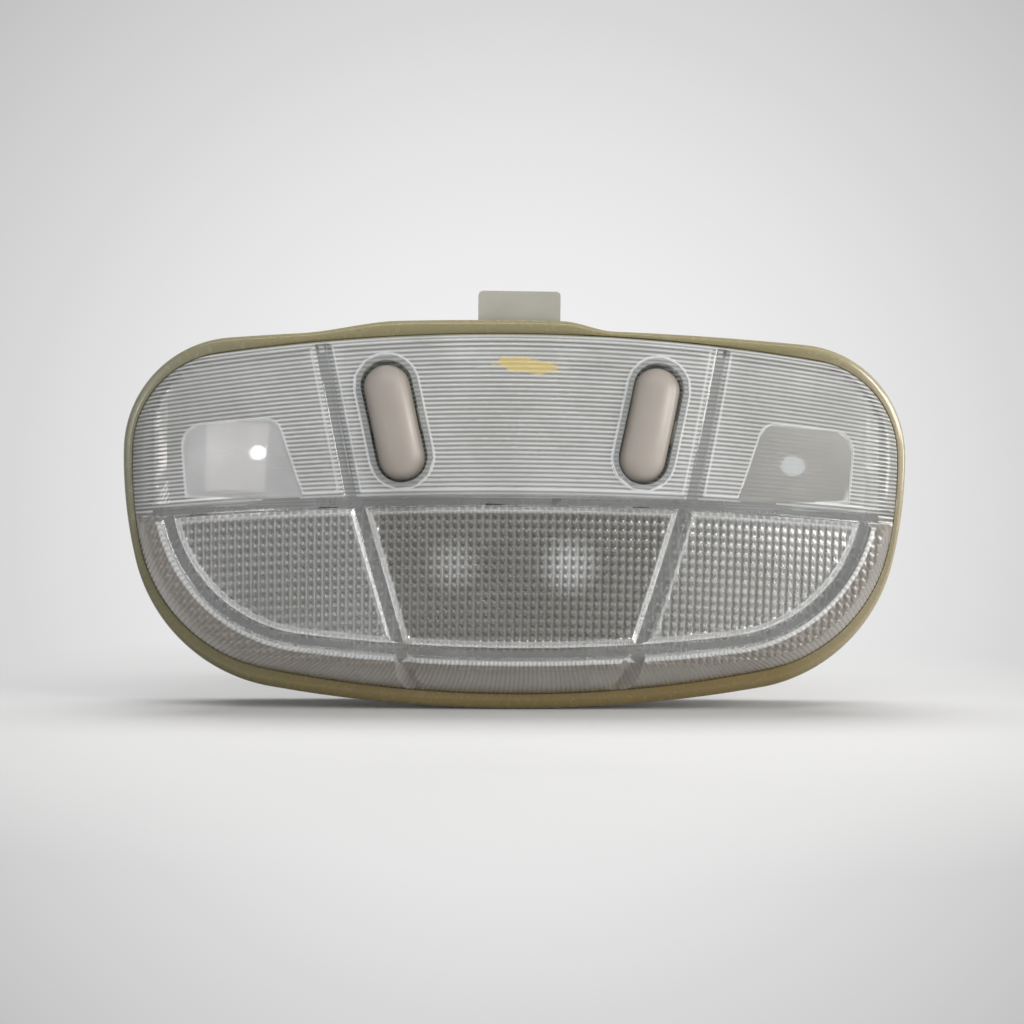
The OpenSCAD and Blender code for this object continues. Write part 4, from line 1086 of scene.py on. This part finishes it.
# Floor and backdrop: a round tray whose edge curves up into a wall
def make_stage():
    radius, bend, height, n = 1.6, 0.9, 2.4, 96
    profile = [(0.0, 0.0)] + [(r, 0.0) for r in (0.3, 0.8, radius)]
    turns = np.linspace(0.1, math.pi / 2, 16)
    profile += [(radius + bend * math.sin(t), bend * (1 - math.cos(t))) for t in turns]
    profile += [(radius + bend, height)]
    verts, faces = [(0, 0, 0)], []
    for r, z in profile[1:]:
        verts += [(r * math.cos(2 * math.pi * k / n), r * math.sin(2 * math.pi * k / n), z) for k in range(n)]
    faces += [(0, 1 + k, 1 + (k + 1) % n) for k in range(n)]
    for i in range(len(profile) - 2):
        a, b = 1 + i * n, 1 + (i + 1) * n
        faces += [(a + k, b + k, b + (k + 1) % n, a + (k + 1) % n) for k in range(n)]
    mesh = bpy.data.meshes.new("floor")
    mesh.from_pydata(verts, [], faces)
    mesh.shade_smooth()
    floor = bpy.data.objects.new("floor", mesh)
    scene.collection.objects.link(floor)
    floor.location.z = cad_low.z - 0.0002
    mat, tree, out = new_material("floor_paint")
    coords = tree.nodes.new("ShaderNodeTexCoord").outputs["Object"]
    p = principled(tree, out, Roughness=0.75, Specular_IOR_Level=0.2)
    colour = ramp(tree, noise(tree, coords, 6, 3), ((0.3, srgb(195, 195, 195)), (0.7, srgb(199, 199, 199))))
    tree.links.new(colour, p.inputs["Base Color"])
    # Away from the light's foot, what the eye, gloss and glass see is a pale backdrop with one soft painted
    # pool
    # of light on it: brightest in line with the light's face, and darker all round
    axis = Vector((math.sin(math.radians(VIEW_SIDE)), 1.0, -math.sin(math.radians(VIEW_LIFT)))).normalized()
    away = vector(tree, "SUBTRACT", coords, Vector(PAINTED_POOL_FROM) - floor.location)
    facing = vector(tree, "DOT_PRODUCT", vector(tree, "NORMALIZE", away), axis)
    spread = remap(tree, facing, 1.0, 0.94, 0.0, 1.0)
    painted_pool_glow = tree.nodes.new("ShaderNodeEmission")
    level = ramp(tree, spread, [(at, (v, v, v)) for at, v in PAINTED_POOL])
    tree.links.new(level, painted_pool_glow.inputs["Color"])
    rays = tree.nodes.new("ShaderNodeLightPath").outputs
    seen = calc(tree, "MAXIMUM", rays["Is Camera Ray"], rays["Is Glossy Ray"])
    seen = calc(tree, "MAXIMUM", seen, rays["Is Transmission Ray"])
    foot = vector(tree, "MULTIPLY", coords, (1 / FLOOR_REACH[0], 1 / FLOOR_REACH[1], 1.0))
    far = remap(tree, vector(tree, "LENGTH", foot), 0.7, 1.5, 0.0, 1.0)
    finish_mix(tree, out, calc(tree, "MULTIPLY", seen, far), p.outputs["BSDF"], painted_pool_glow.outputs["Emission"])
    mesh.materials.append(mat)


make_stage()


def area_light(name, place, size, power, colour=(1, 1, 1), shape="RECTANGLE"):
    """A lamp that faces the light's middle."""
    data = bpy.data.lights.new(name, "AREA")
    data.shape = shape
    data.size, data.size_y = size
    data.energy = power
    data.color = colour
    obj = bpy.data.objects.new(name, data)
    scene.collection.objects.link(obj)
    obj.location = place
    obj.rotation_mode = "QUATERNION"
    obj.rotation_quaternion = (-Vector(place)).to_track_quat("-Z", "Y")
    return obj


area_light("key", (1.1, -1.01, 0.5), (0.5, 0.7), 14.5, (1.0, 0.98, 0.95))
area_light("side", (1.1, -0.3, 0.25), (0.25, 0.6), 6.5, (1.0, 0.96, 0.9))
area_light("fill", (-0.95, -0.9, 0.4), (0.9, 0.9), 2.6, (0.93, 0.97, 1.0))
area_light("card", (-0.56, -1.17, 0.15), (0.14, 0.3), 0.8, (1.0, 0.88, 0.84))
area_light("strip", (0.0, -0.6, 0.95), (1.1, 0.1), 2.4)
area_light("flash", (-0.42, -0.94, 0.14), (0.03, 0.055), 0.16, (0.9, 0.98, 1.0), "ELLIPSE")
area_light("glint", (0.6, -0.93, 0.11), (0.05, 0.08), 0.11, (0.78, 0.94, 1.0), "ELLIPSE")
top = area_light("top", (0.0, 0.3, 1.2), (1.4, 0.5), 15)
top.visible_glossy = False

world = bpy.data.worlds.new("world")
scene.world = world
world.use_nodes = True
world.node_tree.nodes["Background"].inputs["Color"].default_value = (1, 1, 1, 1)
world.node_tree.nodes["Background"].inputs["Strength"].default_value = 0.28
scene.view_settings.view_transform = "Standard"
